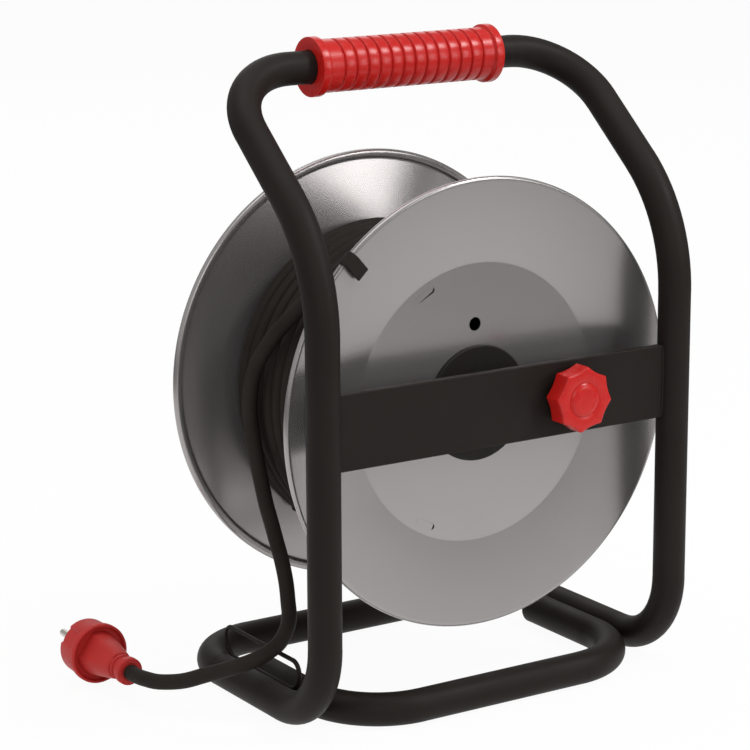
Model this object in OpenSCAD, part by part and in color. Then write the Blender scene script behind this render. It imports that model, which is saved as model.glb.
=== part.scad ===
// Extension cord reel: a steel drum on a bent-tube stand, with a screw brake, four sockets and its cord.
// Millimetres. X runs along the crossbar, Y along the axle from the brake to the sockets, Z is up.

/* [Stand] */
// Outside diameter of the stand's tube
tube_d = 21.3; // [18:0.1:26]
// Wall of the stand's tube
tube_wall = 2; // [1:0.1:3]
// Distance between the two uprights, centre to centre
frame_w = 267; // [240:1:330]
// Distance from the uprights to the far floor run, centre to centre
base_depth = 174.6; // [150:0.1:220]
// Bend at the foot of each upright, centreline
foot_bend = 50; // [35:1:60]
// Bend at each far corner of the floor run, centreline
corner_bend = 47; // [35:1:60]
// Drop from the handle's centreline to where the uprights lean back
knee_drop = 97.6; // [60:0.1:110]
// Bend where the uprights lean back, centreline
knee_bend = 105; // [60:1:120]
// Distance of the handle behind the uprights
handle_back = 118; // [95:1:145]
// Room for a hand between the flanges' top and the handle's centreline
hand_gap = 63.5; // [50:0.5:110]
// Bend at each end of the handle, centreline
handle_bend = 49; // [35:1:55]
// Gap between the two tube ends that meet inside the grip
butt_gap = 1; // [0.5:0.5:4]

/* [Inner base] */
// Distance of the inner base's near run behind the uprights
inner_back = 1.8; // [0:0.1:5]
// Bend at the inner base's corners, centreline
inner_bend = 50; // [35:1:60]
// Distance from the uprights to the ends of the inner legs
inner_reach = 119; // [100:1:140]
// Thickness of the end plugs' lips
plug_lip = 2; // [1:0.5:3]
// Length of the end plugs inside the tube
plug_depth = 14; // [8:1:20]

/* [Cord guide] */
// Diameter of the guide's wire
wire_d = 3; // [2:0.5:4]
// Distance from the uprights to the near end of the guide
guide_from = 48.5; // [40:0.5:60]
// Distance from the uprights to the far end of the guide
guide_to = 140.5; // [130:0.5:141]
// Height of the guide's upper wire
guide_z = 36; // [36:0.5:50]
// Radius of the guide's upper corners, centreline
guide_bend = 7.5; // [6:0.5:8]
// Radius of the guide's lower corners, centreline
guide_foot_bend = 11.5; // [9:0.5:11.5]

/* [Grip] */
// Length of the hand grip
grip_l = 138; // [120:1:150]
// Diameter of the grip between its collars
grip_d = 34; // [30:0.5:42]
// Diameter of the collars at the grip's ends
collar_d = 38; // [36:0.5:46]
// Length of each collar
collar_l = 5.7; // [5:0.1:8]
// Number of grooves around the grip
grip_grooves = 13; // [7:1:13]
// Distance from one groove to the next
groove_step = 8.4; // [7:0.1:9]
// Distance from the grip's middle to the middle of its grooves
groove_shift = 5.2; // [0:0.1:7]
// Width of a groove
groove_w = 1.2; // [0.8:0.1:2]
// Depth of a groove
groove_t = 0.9; // [0.5:0.1:1.5]

/* [Crossbar and brake] */
// Height of the crossbar
bar_h = 48; // [44:1:60]
// Thickness of the crossbar
bar_t = 5; // [4:0.5:8]
// Rise of the crossbar's centreline above the axle
bar_rise = 4; // [0:0.5:10]
// Distance of the brake spindle from the axle, along the crossbar
brake_x = 48; // [45:1:75]
// Rise of the brake spindle above the axle
brake_rise = 5; // [0:0.5:10]
// Radius of the brake knob at its points
knob_r = 21.5; // [18:0.5:28]
// Radius of the brake knob between its points
knob_valley_r = 18.8; // [15:0.1:25]
// Number of points on the brake knob
knob_points = 8; // [5:1:12]
// Thickness of the brake knob
knob_t = 13; // [10:0.5:18]
// Gap between the brake knob and the crossbar when the brake is off
knob_gap = 3.5; // [3:0.1:5]
// Radius of the cap in the middle of the knob
cap_r = 10.7; // [8:0.1:13]
// Height of the cap above the knob's face
cap_rise = 1.5; // [1:0.1:2.5]
// Diameter of the brake spindle
spindle_d = 8; // [6:0.5:10]
// Lead of the spindle's thread
spindle_pitch = 1.25; // [1:0.05:1.5]
// Turns of the knob from off to on
brake_turns = 1.5; // [1:0.1:1.6]
// Radius of the brake pad
pad_r = 10; // [8:0.5:14]
// Thickness of the brake pad
pad_t = 5; // [3:0.5:7]
// Gap between pad and drum when the brake is off
pad_gap = 2.3; // [2.2:0.1:3]

/* [Drum] */
// Gap between the flanges and the floor
floor_gap = 46.5; // [40:0.5:90]
// Diameter of the axle
axle_d = 12; // [10:0.5:16]
// Diameter of the threaded stub at the axle's end
stub_d = 8; // [6:0.5:10]
// Diameter of the flanges over their rims
flange_d = 290; // [260:1:350]
// Distance from the uprights to the middle of the near rim
near_rim = 24.2; // [20:0.1:40]
// Distance between the two rims, middle to middle
rim_span = 142; // [120:1:200]
// Depth of the flat discs inside the rims
dish = 6.8; // [4:0.1:10]
// Diameter of the flat middle of each flange
disc_d = 180; // [176:1:190]
// Thickness of the flanges' steel
sheet = 1; // [0.8:0.1:1.5]
// Radius of the rolled rims
bead_r = 2.2; // [1.5:0.1:3]
// Outside diameter of the barrel
barrel_d = 168; // [160:1:174]
// Running gap between the bearings and the axle, on the radius
bearing_gap = 0.05; // [0.02:0.01:0.1]
// Radius of the near hub's face
hub_r = 37.5; // [30:0.5:45]
// Thickness of the near hub's face
hub_t = 2.2; // [1.5:0.1:4]
// Radius of the hole in the near disc
vent_r = 4.4; // [2:0.1:6]
// Distance of that hole from the axle
vent_reach = 51; // [46:1:60]

/* [Cord] */
// Diameter of the cord
cord_d = 10; // [8:0.1:10.2]
// Step from one turn to the next
turn_step = 10.53; // [10.5:0.01:13]
// Mean radius of the outer turns
turn_r = 100; // [98:0.5:102]
// How far the slack turns hang off centre
turn_slack = 4.9; // [0:0.1:4.9]
// Thickness of the cord bedded under the outer turns
bed_t = 5.2; // [3:0.1:5.5]

/* [Plug] */
// Diameter of the plug's collar, on which it lies
plug_collar_d = 40; // [38:0.5:44]
// Diameter of the plug's front
plug_face_d = 37.4; // [35:0.1:38]
// Length of the plug in front of its collar
plug_front_l = 15.5; // [14:0.5:20]
// Thickness of the plug's collar
plug_collar_t = 5; // [3:0.5:7]
// Length of the plug's handle behind its collar
plug_back_l = 27; // [20:1:30]
// Length of the plug's bend relief
relief_l = 26; // [20:1:40]
// Diameter of the plug's pins
pin_d = 4.8; // [4:0.1:5]
// Length of the plug's pins
pin_l = 19; // [17:0.5:19]
// Distance between the plug's pins, and between a socket's holes
pin_step = 19; // [18:0.5:20]

/* [Sockets] */
// Radius of the socket panel
panel_r = 80; // [76:0.5:80.5]
// Thickness of the socket panel
panel_t = 3; // [2:0.5:4]
// Distance of each socket from the axle
socket_reach = 46; // [44:0.5:48]
// Radius of a socket's recess
recess_r = 19.6; // [19:0.1:20.5]
// Depth of a socket's recess
recess_t = 17.5; // [15:0.5:18.5]
// Wall around a socket's recess
well_wall = 2.7; // [1.5:0.1:3]
// Height of the ring around each socket
bezel_t = 4; // [3:0.5:6]
// Radius of a socket lid
lid_r = 24; // [23:0.5:25]
// Thickness of a socket lid
lid_t = 3; // [2:0.5:4]
// Diameter of the lids' hinge pins
hinge_d = 3; // [2:0.5:4]
// Distance of the reset button from the axle
reset_reach = 62; // [58:1:63]
// Radius of the reset button
reset_r = 3.5; // [3:0.1:4.5]
// Travel of the reset button
reset_travel = 2; // [1:0.5:2.5]

/* [Winding knob] */
// Distance of the winding knob from the axle
winder_reach = 115; // [112:1:125]
// Distance from the far disc to the end of the winding knob
winder_l = 49.1; // [40:0.1:60]
// Radius of the winding knob at its end
winder_r = 14; // [12:0.5:18]
// Diameter of the winding knob's pin
winder_pin_d = 8; // [6:0.5:10]

/* [Hidden] */
$fn = 96;

// Clearances
slide_gap = 0.05;
seat_gap = 0.2;
body_gap = 0.3;

// Stations along Y; the origin lies midway between the brake knob's cap and the winding knob's end
front_reach = bar_t / 2 + knob_gap + knob_t + cap_rise;
back_reach = near_rim + rim_span - dish + winder_l;
upright_y = (front_reach - back_reach) / 2;
handle_y = upright_y + handle_back;
far_run_y = upright_y + base_depth;
near_rim_y = upright_y + near_rim;
far_rim_y = near_rim_y + rim_span;
near_disc_y = near_rim_y + dish;
far_disc_y = far_rim_y - dish;
near_inner_y = near_disc_y + sheet;
far_inner_y = far_disc_y - sheet;

// Heights; the stand follows the flanges
flange_r = flange_d / 2;
axle_z = flange_r + floor_gap;
bar_z = axle_z + bar_rise;
brake_z = axle_z + brake_rise;
handle_z = axle_z + flange_r + hand_gap;
knee_z = handle_z - knee_drop;

// Radii of the drum
disc_r = disc_d / 2;
barrel_r = barrel_d / 2;
bead_ring_r = flange_r - bead_r;
cone_slope = dish / (bead_ring_r - disc_r);
face_slope = (dish + sheet / 2) / (bead_ring_r - disc_r);
hem_edge_r = bead_ring_r + bead_r - sheet / 4;
hem_drop = (hem_edge_r - bead_ring_r) * face_slope;
barrel_wall = 1;

// Lugs that hold the barrel to the flanges, bent over tangentially
lug_angles = [0, 118, 242];
lug_r = barrel_r - barrel_wall / 2;
lug_l = 15;
lug_w = 4;
lug_neck_l = 6;
lug_t = 0.9;

function unit(v) = v / norm(v);

// Matrix that moves the origin to p, +X to x and +Z to z
function placed(p, x, z) =
    let (y = cross(z, x))
    [[x[0], y[0], z[0], p[0]], [x[1], y[1], z[1], p[1]], [x[2], y[2], z[2], p[2]]];
function across(d) = abs(d[0]) < 0.9 ? unit(cross(d, [1, 0, 0])) : unit(cross(d, [0, 1, 0]));

// Solid of revolution about Y, from a profile drawn as (radius, y)
module turned() rotate([-90, 0, 0]) rotate_extrude() children();
// Plate between two stations along Y, from an outline drawn as (x, z)
module plate(from_y, to_y) translate([0, to_y, 0]) rotate([90, 0, 0]) linear_extrude(to_y - from_y) children();
// Round bar or tube between two stations along Y
module bar_y(from_y, to_y, r) translate([0, from_y, 0]) rotate([-90, 0, 0]) cylinder(h = to_y - from_y, r = r);
module sleeve_y(from_y, to_y, r, bore) turned() translate([bore, from_y]) square([r - bore, to_y - from_y]);
module at_axle() translate([0, 0, axle_z]) children();
// Turned by an angle about the axle, with local +X pointing outwards
module at_angle(a) at_axle() rotate([0, -a, 0]) children();

// ---- Bent tubes ----

run_lap = 0.2;
run_less = 0.06;

function half_angle(p, i) = acos(unit(p[i - 1] - p[i]) * unit(p[i + 1] - p[i])) / 2;
function trim(p, r, i) = (i == 0 || i == len(p) - 1) ? 0 : r[i] / tan(half_angle(p, i));

module ring_section(r, bore) {
    difference() {
        circle(r = r);
        if (bore > 0) circle(r = bore);
    }
}

module bend(before, corner, after, radius) {
    u = unit(before - corner);
    v = unit(after - corner);
    half = acos(u * v) / 2;
    centre = corner + unit(u + v) * radius / sin(half);
    start = corner + u * radius / tan(half);
    multmatrix(placed(centre, unit(start - centre), unit(cross(v, u))))
        rotate_extrude(angle = 180 - 2 * half)
            translate([radius, 0]) children();
}

// Round bar or tube along straight runs and round bends; p holds the corners and bends their radii.
// The straight runs are a hair thinner and reach a little into the bends, so that all fuse into one.
module bent(p, bends, r, bore = 0) {
    for (i = [0 : len(p) - 2]) {
        way = unit(p[i + 1] - p[i]);
        start = p[i] + way * (trim(p, bends, i) - (i == 0 ? 0 : run_lap));
        stop = p[i + 1] - way * (trim(p, bends, i + 1) - (i == len(p) - 2 ? 0 : run_lap));
        multmatrix(placed(start, across(way), way)) linear_extrude(norm(stop - start))
            ring_section(r - run_less, bore > 0 ? bore + run_less : 0);
    }
    for (i = [1 : len(p) - 2]) bend(p[i - 1], p[i], p[i + 1], bends[i]) ring_section(r, bore);
}

// ---- Stand ----

tube_r = tube_d / 2;
half_w = frame_w / 2;

module frame_tube() {
    path = [
        [butt_gap / 2, handle_y, handle_z], [half_w, handle_y, handle_z], [half_w, upright_y, knee_z],
        [half_w, upright_y, tube_r], [half_w, far_run_y, tube_r],
        [-half_w, far_run_y, tube_r], [-half_w, upright_y, tube_r],
        [-half_w, upright_y, knee_z], [-half_w, handle_y, handle_z], [-butt_gap / 2, handle_y, handle_z]
    ];
    bends = [0, handle_bend, knee_bend, foot_bend, corner_bend, corner_bend, foot_bend, knee_bend, handle_bend, 0];
    color("#2b2826") bent(path, bends, tube_r, tube_r - tube_wall);
}

inner_x = half_w - tube_d;
inner_end_y = upright_y + inner_reach;
inner_near_y = upright_y + inner_back;

module base_tube() {
    path = [
        [-inner_x, inner_end_y, tube_r], [-inner_x, inner_near_y, tube_r],
        [inner_x, inner_near_y, tube_r], [inner_x, inner_end_y, tube_r]
    ];
    color("#2b2826") bent(path, [0, inner_bend, inner_bend, 0], tube_r, tube_r - tube_wall);
}

module tube_plugs() {
    bore_r = tube_r - tube_wall;
    lip_edge = 1;
    color("#222120") for (side = [-1, 1])
        translate([side * inner_x, inner_end_y, tube_r]) turned()
            polygon([
                [0, -plug_depth], [bore_r - slide_gap, -plug_depth], [bore_r - slide_gap, 0], [tube_r, 0],
                [tube_r, plug_lip - lip_edge], [tube_r - lip_edge, plug_lip], [0, plug_lip]
            ]);
}

// The guide's wire lies in the valley between the outer and the inner floor leg
seam_x = half_w - tube_r;
wire_r = wire_d / 2;
valley_z = tube_r + sqrt(pow(tube_r + wire_r, 2) - pow(tube_r, 2));

module cord_guide() {
    low = valley_z + slide_gap;
    near = upright_y + guide_from;
    far = upright_y + guide_to;
    middle = (near + far) / 2;
    path = [
        [-seam_x, middle, low], [-seam_x, far, low], [-seam_x, far, guide_z],
        [-seam_x, near, guide_z], [-seam_x, near, low], [-seam_x, middle, low]
    ];
    bends = [0, guide_foot_bend, guide_bend, guide_bend, guide_foot_bend, 0];
    color("#2b2826") bent(path, bends, wire_r, $fn = 32);
}

module crossbar() {
    edge = 0.6;
    color("#2b2826") difference() {
        translate([-half_w, upright_y - bar_t / 2, bar_z - bar_h / 2]) rotate([90, 0, 90])
            linear_extrude(frame_w) polygon([
                [edge, 0], [bar_t - edge, 0], [bar_t, edge], [bar_t, bar_h - edge],
                [bar_t - edge, bar_h], [edge, bar_h], [0, bar_h - edge], [0, edge]
            ]);
        for (side = [-1, 1])
            translate([side * half_w, upright_y, 0]) cylinder(h = handle_z, r = tube_r);
        translate([brake_x, 0, brake_z]) bar_y(upright_y - bar_t, upright_y + bar_t, spindle_d / 2 + body_gap);
    }
}

module handle_grip() {
    body_r = grip_d / 2;
    collar_r = collar_d / 2;
    half = grip_l / 2;
    edge = 1.2;
    color("#c8302e") translate([0, handle_y, handle_z]) rotate([0, 90, 0]) rotate_extrude() difference() {
        polygon([
            [tube_r + slide_gap, -half], [collar_r - edge, -half], [collar_r, edge - half],
            [collar_r, collar_l - half], [body_r, collar_l - half + edge],
            [body_r, half - collar_l - edge], [collar_r, half - collar_l],
            [collar_r, half - edge], [collar_r - edge, half], [tube_r + slide_gap, half]
        ]);
        for (i = [0 : grip_grooves - 1])
            translate([body_r, groove_shift + groove_step * (i - (grip_grooves - 1) / 2)])
                polygon([[-groove_t, -groove_w / 4], [1, -groove_w], [1, groove_w], [-groove_t, groove_w / 4]]);
    }
}

// ---- Axle, fixed to the back of the crossbar ----

bar_back_y = upright_y + bar_t / 2;
bar_front_y = upright_y - bar_t / 2;
axle_r = axle_d / 2;
stub_r = stub_d / 2;
foot_r = 14;
foot_t = 5;
nose_y = bar_back_y + foot_t + body_gap;
shoulder_y = far_disc_y - 16.4;
stub_l = 13;
washer_t = 1.6;
nut_t = 6.5;

module axle() {
    foot_y = bar_back_y + foot_t;
    color("#8f9294") at_axle() turned() polygon([
        [0, bar_back_y], [foot_r, bar_back_y], [foot_r, foot_y - 1], [foot_r - 1, foot_y], [axle_r, foot_y],
        [axle_r, shoulder_y], [stub_r, shoulder_y], [stub_r, shoulder_y + stub_l], [0, shoulder_y + stub_l]
    ]);
}

module axle_washer() {
    color("#a9acae") at_axle() sleeve_y(shoulder_y, shoulder_y + washer_t, stub_r + 7, stub_r + slide_gap);
}

// Hexagonal nut along Y
module hex_nut(y, thick, flats, bore) {
    difference() {
        translate([0, y, 0]) rotate([-90, 0, 0]) cylinder(h = thick, d = flats / cos(30), $fn = 6);
        bar_y(y - 1, y + thick + 1, bore);
    }
}

module axle_nut() {
    color("#a9acae") at_axle() hex_nut(shoulder_y + washer_t, nut_t, 1.6 * stub_d, stub_r + slide_gap);
}

// ---- Brake ----

spindle_r = spindle_d / 2;
brake_nut_t = 6.5;
knob_back_y = bar_front_y - knob_gap;
knob_front_y = knob_back_y - knob_t;
pad_face_y = near_disc_y - pad_gap;
holder_t = 8;
holder_back_y = pad_face_y - pad_t;
holder_front_y = holder_back_y - holder_t;
spindle_end_y = holder_back_y - 2.5;
knob_bore_t = 9;

module at_brake() translate([brake_x, 0, brake_z]) children();

module brake_nut() {
    color("#2b2826") at_brake() hex_nut(bar_back_y, brake_nut_t, 1.6 * spindle_d, spindle_r + slide_gap);
}

module star(points, tip_r, valley_r) {
    half = 180 / points;
    tip_x = tip_r * cos(half);
    tip_y = tip_r * sin(half);
    // Radius of the scallop that runs from one tip through the valley to the next tip
    scoop_r = (tip_y * tip_y + pow(tip_x - valley_r, 2)) / (2 * (tip_x - valley_r));
    difference() {
        circle(r = tip_r);
        for (i = [0 : points - 1]) rotate((i + 0.5) * 2 * half) translate([valley_r + scoop_r, 0]) circle(r = scoop_r);
    }
}

module brake_knob() {
    edge = 1;
    web_t = knob_t - edge;
    tilt = -6.3;
    color("#cd3232") at_brake() difference() {
        union() {
            plate(knob_front_y + edge, knob_back_y) rotate(tilt) star(knob_points, knob_r, knob_valley_r);
            plate(knob_front_y, knob_front_y + edge)
                rotate(tilt) star(knob_points, knob_r - edge, knob_valley_r - edge);
        }
        bar_y(knob_back_y - knob_bore_t, knob_back_y + 1, spindle_r);
        bar_y(knob_front_y - 1, knob_front_y + 2, cap_r);
    }
}

module knob_cap() {
    lip = 1.2;
    color("#cd3232") at_brake() turned() polygon([
        [0, knob_front_y + 2], [cap_r - slide_gap, knob_front_y + 2], [cap_r - slide_gap, knob_front_y - cap_rise / 3],
        [cap_r - lip, knob_front_y - cap_rise], [0, knob_front_y - cap_rise]
    ]);
}

module brake_spindle() {
    color("#9a9d9f") at_brake() bar_y(knob_back_y - knob_bore_t, spindle_end_y, spindle_r);
}

module pad_holder() {
    rim = 1.5;
    color("#33302e") at_brake() difference() {
        turned() polygon([
            [0, holder_front_y], [spindle_r + 3, holder_front_y], [pad_r - rim, holder_back_y - 2],
            [pad_r, holder_back_y - 2], [pad_r, holder_back_y], [0, holder_back_y]
        ]);
        bar_y(holder_front_y - 1, spindle_end_y + body_gap, spindle_r + slide_gap);
    }
}

module brake_pad() {
    edge = 0.8;
    color("#1f1e1d") at_brake() turned() polygon([
        [0, holder_back_y], [pad_r, holder_back_y], [pad_r, pad_face_y - edge], [pad_r - edge, pad_face_y], [0, pad_face_y]
    ]);
}

// ---- Drum shell ----

module lug_outline(extra) {
    r = lug_w / 2 + extra;
    reach = lug_l / 2 - lug_w / 2;
    translate([-r, -reach]) square([2 * r, 2 * reach]);
    for (end = [-1, 1]) translate([0, end * reach]) circle(r = r);
}

// Section of the hem rolled inwards at the rim, so that the outer face stays smooth
module hem() {
    reach = 2 * bead_r;
    translate([bead_ring_r, near_rim_y]) intersection() {
        circle(r = bead_r, $fn = 32);
        polygon([[-reach, reach * face_slope], [reach, -reach * face_slope], [reach, reach], [-reach, reach]]);
    }
}

// Near flange; the far one is its mirror image
module flange(bore) {
    difference() {
        turned() {
            polygon([
                [bore, near_disc_y], [disc_r, near_disc_y], [hem_edge_r, near_rim_y - sheet / 2 - hem_drop],
                [hem_edge_r, near_rim_y + sheet / 2 - hem_drop], [disc_r, near_inner_y], [bore, near_inner_y]
            ]);
            hem();
        }
        for (a = lug_angles) rotate([0, -a, 0])
            plate(near_disc_y - 1, near_inner_y + 1) translate([lug_r, 0])
                square([barrel_wall + 2 * seat_gap, lug_neck_l + 2 * seat_gap], center = true);
    }
}

module mirrored_drum() translate([0, near_rim_y + far_rim_y, 0]) mirror([0, 1, 0]) children();

hub_bore_r = hub_r - 4.5;
vent_angle = 91.8;

module near_flange() {
    color("#8d8a89") at_axle() difference() {
        flange(hub_bore_r);
        rotate([0, -vent_angle, 0]) translate([vent_reach, 0, 0])
            bar_y(near_disc_y - 1, near_inner_y + 1, vent_r);
    }
}

opening_r = panel_r - 8;
winder_angle = -30;
winder_pin_r = winder_pin_d / 2;
screw_r = 1.5;
screw_ring_r = panel_r - 4;
screw_count = 6;

module far_flange() {
    color("#8d8a89") at_axle() difference() {
        mirrored_drum() flange(opening_r);
        rotate([0, -winder_angle, 0]) translate([winder_reach, 0, 0])
            bar_y(far_disc_y - 4, far_rim_y + 4, winder_pin_r);
        for (i = [0 : screw_count - 1]) rotate([0, -i * 360 / screw_count - 30, 0])
            translate([screw_ring_r, 0, 0]) bar_y(far_inner_y - 1, far_disc_y + 1, screw_r);
    }
}

gland_y = (near_disc_y + far_disc_y) / 2 + 5;
gland_r = cord_d / 2 + 1.5;

module barrel_lugs() {
    for (a = lug_angles) rotate([0, -a, 0]) {
        plate(near_disc_y - lug_t, near_disc_y) translate([lug_r, 0]) lug_outline(0);
        plate(near_disc_y - lug_t / 2, near_inner_y + 1) translate([lug_r, 0])
            square([barrel_wall, lug_neck_l], center = true);
    }
}

module barrel() {
    color("#77757a") at_axle() difference() {
        union() {
            sleeve_y(near_inner_y, far_inner_y, barrel_r, barrel_r - barrel_wall);
            barrel_lugs();
            mirrored_drum() barrel_lugs();
        }
        translate([0, gland_y, 0]) rotate([0, 90, 0]) cylinder(h = barrel_r + 2, r = gland_r + slide_gap);
    }
}

hub_tube_r = axle_r + 7;
hub_tube_l = 26;

module near_hub() {
    spigot_y = near_inner_y + 6;
    edge = 0.8;
    bore = axle_r + bearing_gap;
    face_y = near_disc_y - hub_t;
    color("#1f1e1d") at_axle() turned() polygon([
        [bore, nose_y], [axle_r + 4, nose_y], [axle_r + 5, face_y],
        [hub_r - edge, face_y], [hub_r, face_y + edge], [hub_r, near_disc_y],
        [hub_bore_r - slide_gap, near_disc_y], [hub_bore_r - slide_gap, spigot_y],
        [hub_bore_r - 3, spigot_y], [hub_bore_r - 3, near_inner_y], [hub_tube_r, near_inner_y],
        [hub_tube_r, near_inner_y + hub_tube_l], [bore, near_inner_y + hub_tube_l]
    ]);
}

module hub_ring() {
    color("#9a9d9f") at_axle() sleeve_y(near_inner_y, near_inner_y + 2, hub_r + 4, hub_bore_r);
}

hub_plate_t = 3.5;
hub_plate_r = 42;
boss_bore_r = stub_r + 9.2;
boss_r = boss_bore_r + 3.8;
hub_back_y = shoulder_y - body_gap;

module far_hub() {
    color("#1f1e1d") at_axle() turned() polygon([
        [axle_r + bearing_gap, hub_back_y - hub_tube_l], [hub_tube_r, hub_back_y - hub_tube_l],
        [hub_tube_r, hub_back_y - hub_plate_t], [hub_plate_r, hub_back_y - hub_plate_t],
        [hub_plate_r, hub_back_y], [axle_r + bearing_gap, hub_back_y]
    ]);
}

// Rubber clip that hooks over the near rim
clip_angle = 134;
clip_w = 9.5;
clip_t = 2;
clip_reach = 15;

module rim_clip() {
    over = bead_r + seat_gap / 2;
    bow = clip_reach - bead_r;
    inward = [-bow, bow * cone_slope];
    color("#1c1b1a") at_angle(clip_angle) translate([bead_ring_r, near_rim_y, 0]) {
        translate([0, 0, -clip_w / 2]) rotate([0, 0, -90])
            rotate_extrude(angle = 180) translate([over, 0]) square([clip_t, clip_w]);
        translate([0, 0, -clip_w / 2]) linear_extrude(clip_w) for (side = [-1, 1])
            polygon([
                [0, side * over], [0, side * (over + clip_t)],
                inward + [0, side * (over + clip_t)], inward + [0, side * over]
            ]);
    }
}

// ---- Cord on the drum ----

turn_rings = 24;
cord_sides = 6;
cord_r = cord_d / 2;
first_turn_y = far_inner_y - cord_r - 0.5;
channel_y = upright_y + 37;
turn_count = floor((first_turn_y - channel_y - cord_d - 0.2) / turn_step);
turn_start = -120;

// Each turn hangs a little off centre, and no two hang alike
function turn_radius(t) =
    turn_r - turn_slack * cos(360 * t + turn_start - 45) * (0.94 + 0.06 * sin(137 * floor(t)));
function turn_point(t) =
    let (a = 360 * t + turn_start)
    [turn_radius(t) * cos(a), first_turn_y - turn_step * t, turn_radius(t) * sin(a)];

wound_points = [for (i = [0 : turn_rings * turn_count]) turn_point(i / turn_rings)];
wound_first = 2 * wound_points[0] - wound_points[1];
wound_last = 2 * wound_points[len(wound_points) - 1] - wound_points[len(wound_points) - 2];
wound_path = concat(
    [wound_points[0] + unit(wound_first - wound_points[0]) * cord_d],
    wound_points,
    [wound_points[len(wound_points) - 1] + unit(wound_last - wound_points[len(wound_points) - 1]) * cord_d]
);

// Tangents, and frames carried along without twist
function tangent(p, i) = unit(p[min(i + 1, len(p) - 1)] - p[max(i - 1, 0)]);
function carried(p, i = 0, n = undef, out = []) =
    i == len(p) ? out :
    let (
        t = tangent(p, i),
        seed = is_undef(n) ? across(t) : n,
        flat = unit(seed - t * (seed * t))
    )
    carried(p, i + 1, flat, concat(out, [flat]));

module swept(p, r, sides) {
    n = len(p);
    normals = carried(p);
    rings = [
        for (i = [0 : n - 1])
            let (t = tangent(p, i), u = normals[i], v = cross(t, u))
            for (k = [0 : sides - 1]) p[i] + r * (cos(360 * k / sides) * u + sin(360 * k / sides) * v)
    ];
    walls = [
        for (i = [0 : n - 2]) for (k = [0 : sides - 1])
            let (a = i * sides + k, b = i * sides + (k + 1) % sides)
            each [[a, a + sides, b], [b, a + sides, b + sides]]
    ];
    first_cap = [for (k = [1 : sides - 2]) [0, k, k + 1]];
    last = (n - 1) * sides;
    last_cap = [for (k = [1 : sides - 2]) [last, last + k + 1, last + k]];
    polyhedron(points = rings, faces = concat(walls, first_cap, last_cap), convexity = 10);
}

// Least gap between one turn and the next, measured between the centreline's points and the runs one turn on
function run_gap(p, a, b) =
    let (t = max(0, min(1, (p - a) * (b - a) / ((b - a) * (b - a)))))
    norm(p - a - t * (b - a));
turn_gap = min([
    for (i = [2 : turn_rings * (turn_count - 1) - 2])
        min([for (k = [-2 : 1]) run_gap(wound_points[i], wound_points[i + turn_rings + k], wound_points[i + turn_rings + k + 1])])
]) - cord_d;
echo(turn_count = turn_count, turn_gap = turn_gap);

module wound_cord() {
    color("#262322") at_axle() swept(wound_path, cord_r, cord_sides);
}

module cord_bed() {
    inner = barrel_r + seat_gap;
    color("#201e1d") at_axle()
        sleeve_y(near_inner_y + seat_gap, far_inner_y - seat_gap, inner + bed_t, inner);
}

module cord_gland() {
    lip = 1.5;
    color("#1c1b1a") at_axle() translate([0, gland_y, 0]) rotate([0, 90, 0]) rotate_extrude() polygon([
        [cord_r + slide_gap, barrel_r - barrel_wall - 3], [gland_r + lip, barrel_r - barrel_wall - 3],
        [gland_r + lip, barrel_r - barrel_wall - 0.5], [gland_r, barrel_r - barrel_wall - 0.5],
        [gland_r, barrel_r - 1.5 * seat_gap], [cord_r + slide_gap, barrel_r - 1.5 * seat_gap]
    ]);
}

block_x = 30;
lead_bend = 20;
block_t = 14;
block_y = hub_back_y - hub_plate_t - block_t;

module inner_lead() {
    color("#262322") at_axle() bent(
        [[barrel_r - 1, gland_y, 0], [block_x, gland_y, 0], [block_x, block_y - seat_gap, 0]],
        [0, lead_bend, 0], cord_r
    );
}

module terminal_block() {
    color("#d8d4c8") at_axle() difference() {
        translate([block_x - 9, block_y, -9]) cube([18, block_t, 18]);
        translate([block_x, 0, 0]) for (side = [-1, 1])
            translate([0, block_y + block_t / 2, side * 5]) rotate([0, 90, 0]) cylinder(h = 20, r = 2, $fn = 24);
    }
}

// ---- Sockets ----

socket_angles = [45, 135, 225, 315];
well_r = recess_r + well_wall;
panel_face_y = far_disc_y + panel_t;
bezel_y = panel_face_y + bezel_t;
recess_floor_y = bezel_y - recess_t;
insert_t = 6;
well_end_y = recess_floor_y - insert_t;
contact_step_y = recess_floor_y - 3;
pin_r = pin_d / 2;
contact_l = 15;
contact_r = pin_r + 0.9;
bezel_r = well_r + 2.7;
hinge_x = bezel_r + 3.5;
hinge_y = bezel_y + 0.4 + lid_t / 2 + 0.5;
knuckle_r = hinge_d / 2 + 1.1;
knuckle_l = 10;
ear_from = 7;
ear_to = 11;
reset_angle = 90;
neck_r = reset_r + 2;
cutout_r = neck_r + 2.5;

module at_socket(a) at_angle(a) translate([socket_reach, 0, 0]) children();

// Lid ear with the pin's hole, standing on the panel
module hinge_ears() {
    for (side = [0, 1]) mirror([0, 0, side]) translate([0, 0, ear_from]) difference() {
        union() {
            translate([hinge_x - knuckle_r, panel_face_y - 1, 0])
                cube([2 * knuckle_r, hinge_y - panel_face_y + 1, ear_to - ear_from]);
            translate([hinge_x, hinge_y, 0]) cylinder(h = ear_to - ear_from, r = knuckle_r);
        }
        translate([hinge_x, hinge_y, -1]) cylinder(h = ear_to - ear_from + 2, d = hinge_d);
    }
}

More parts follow.
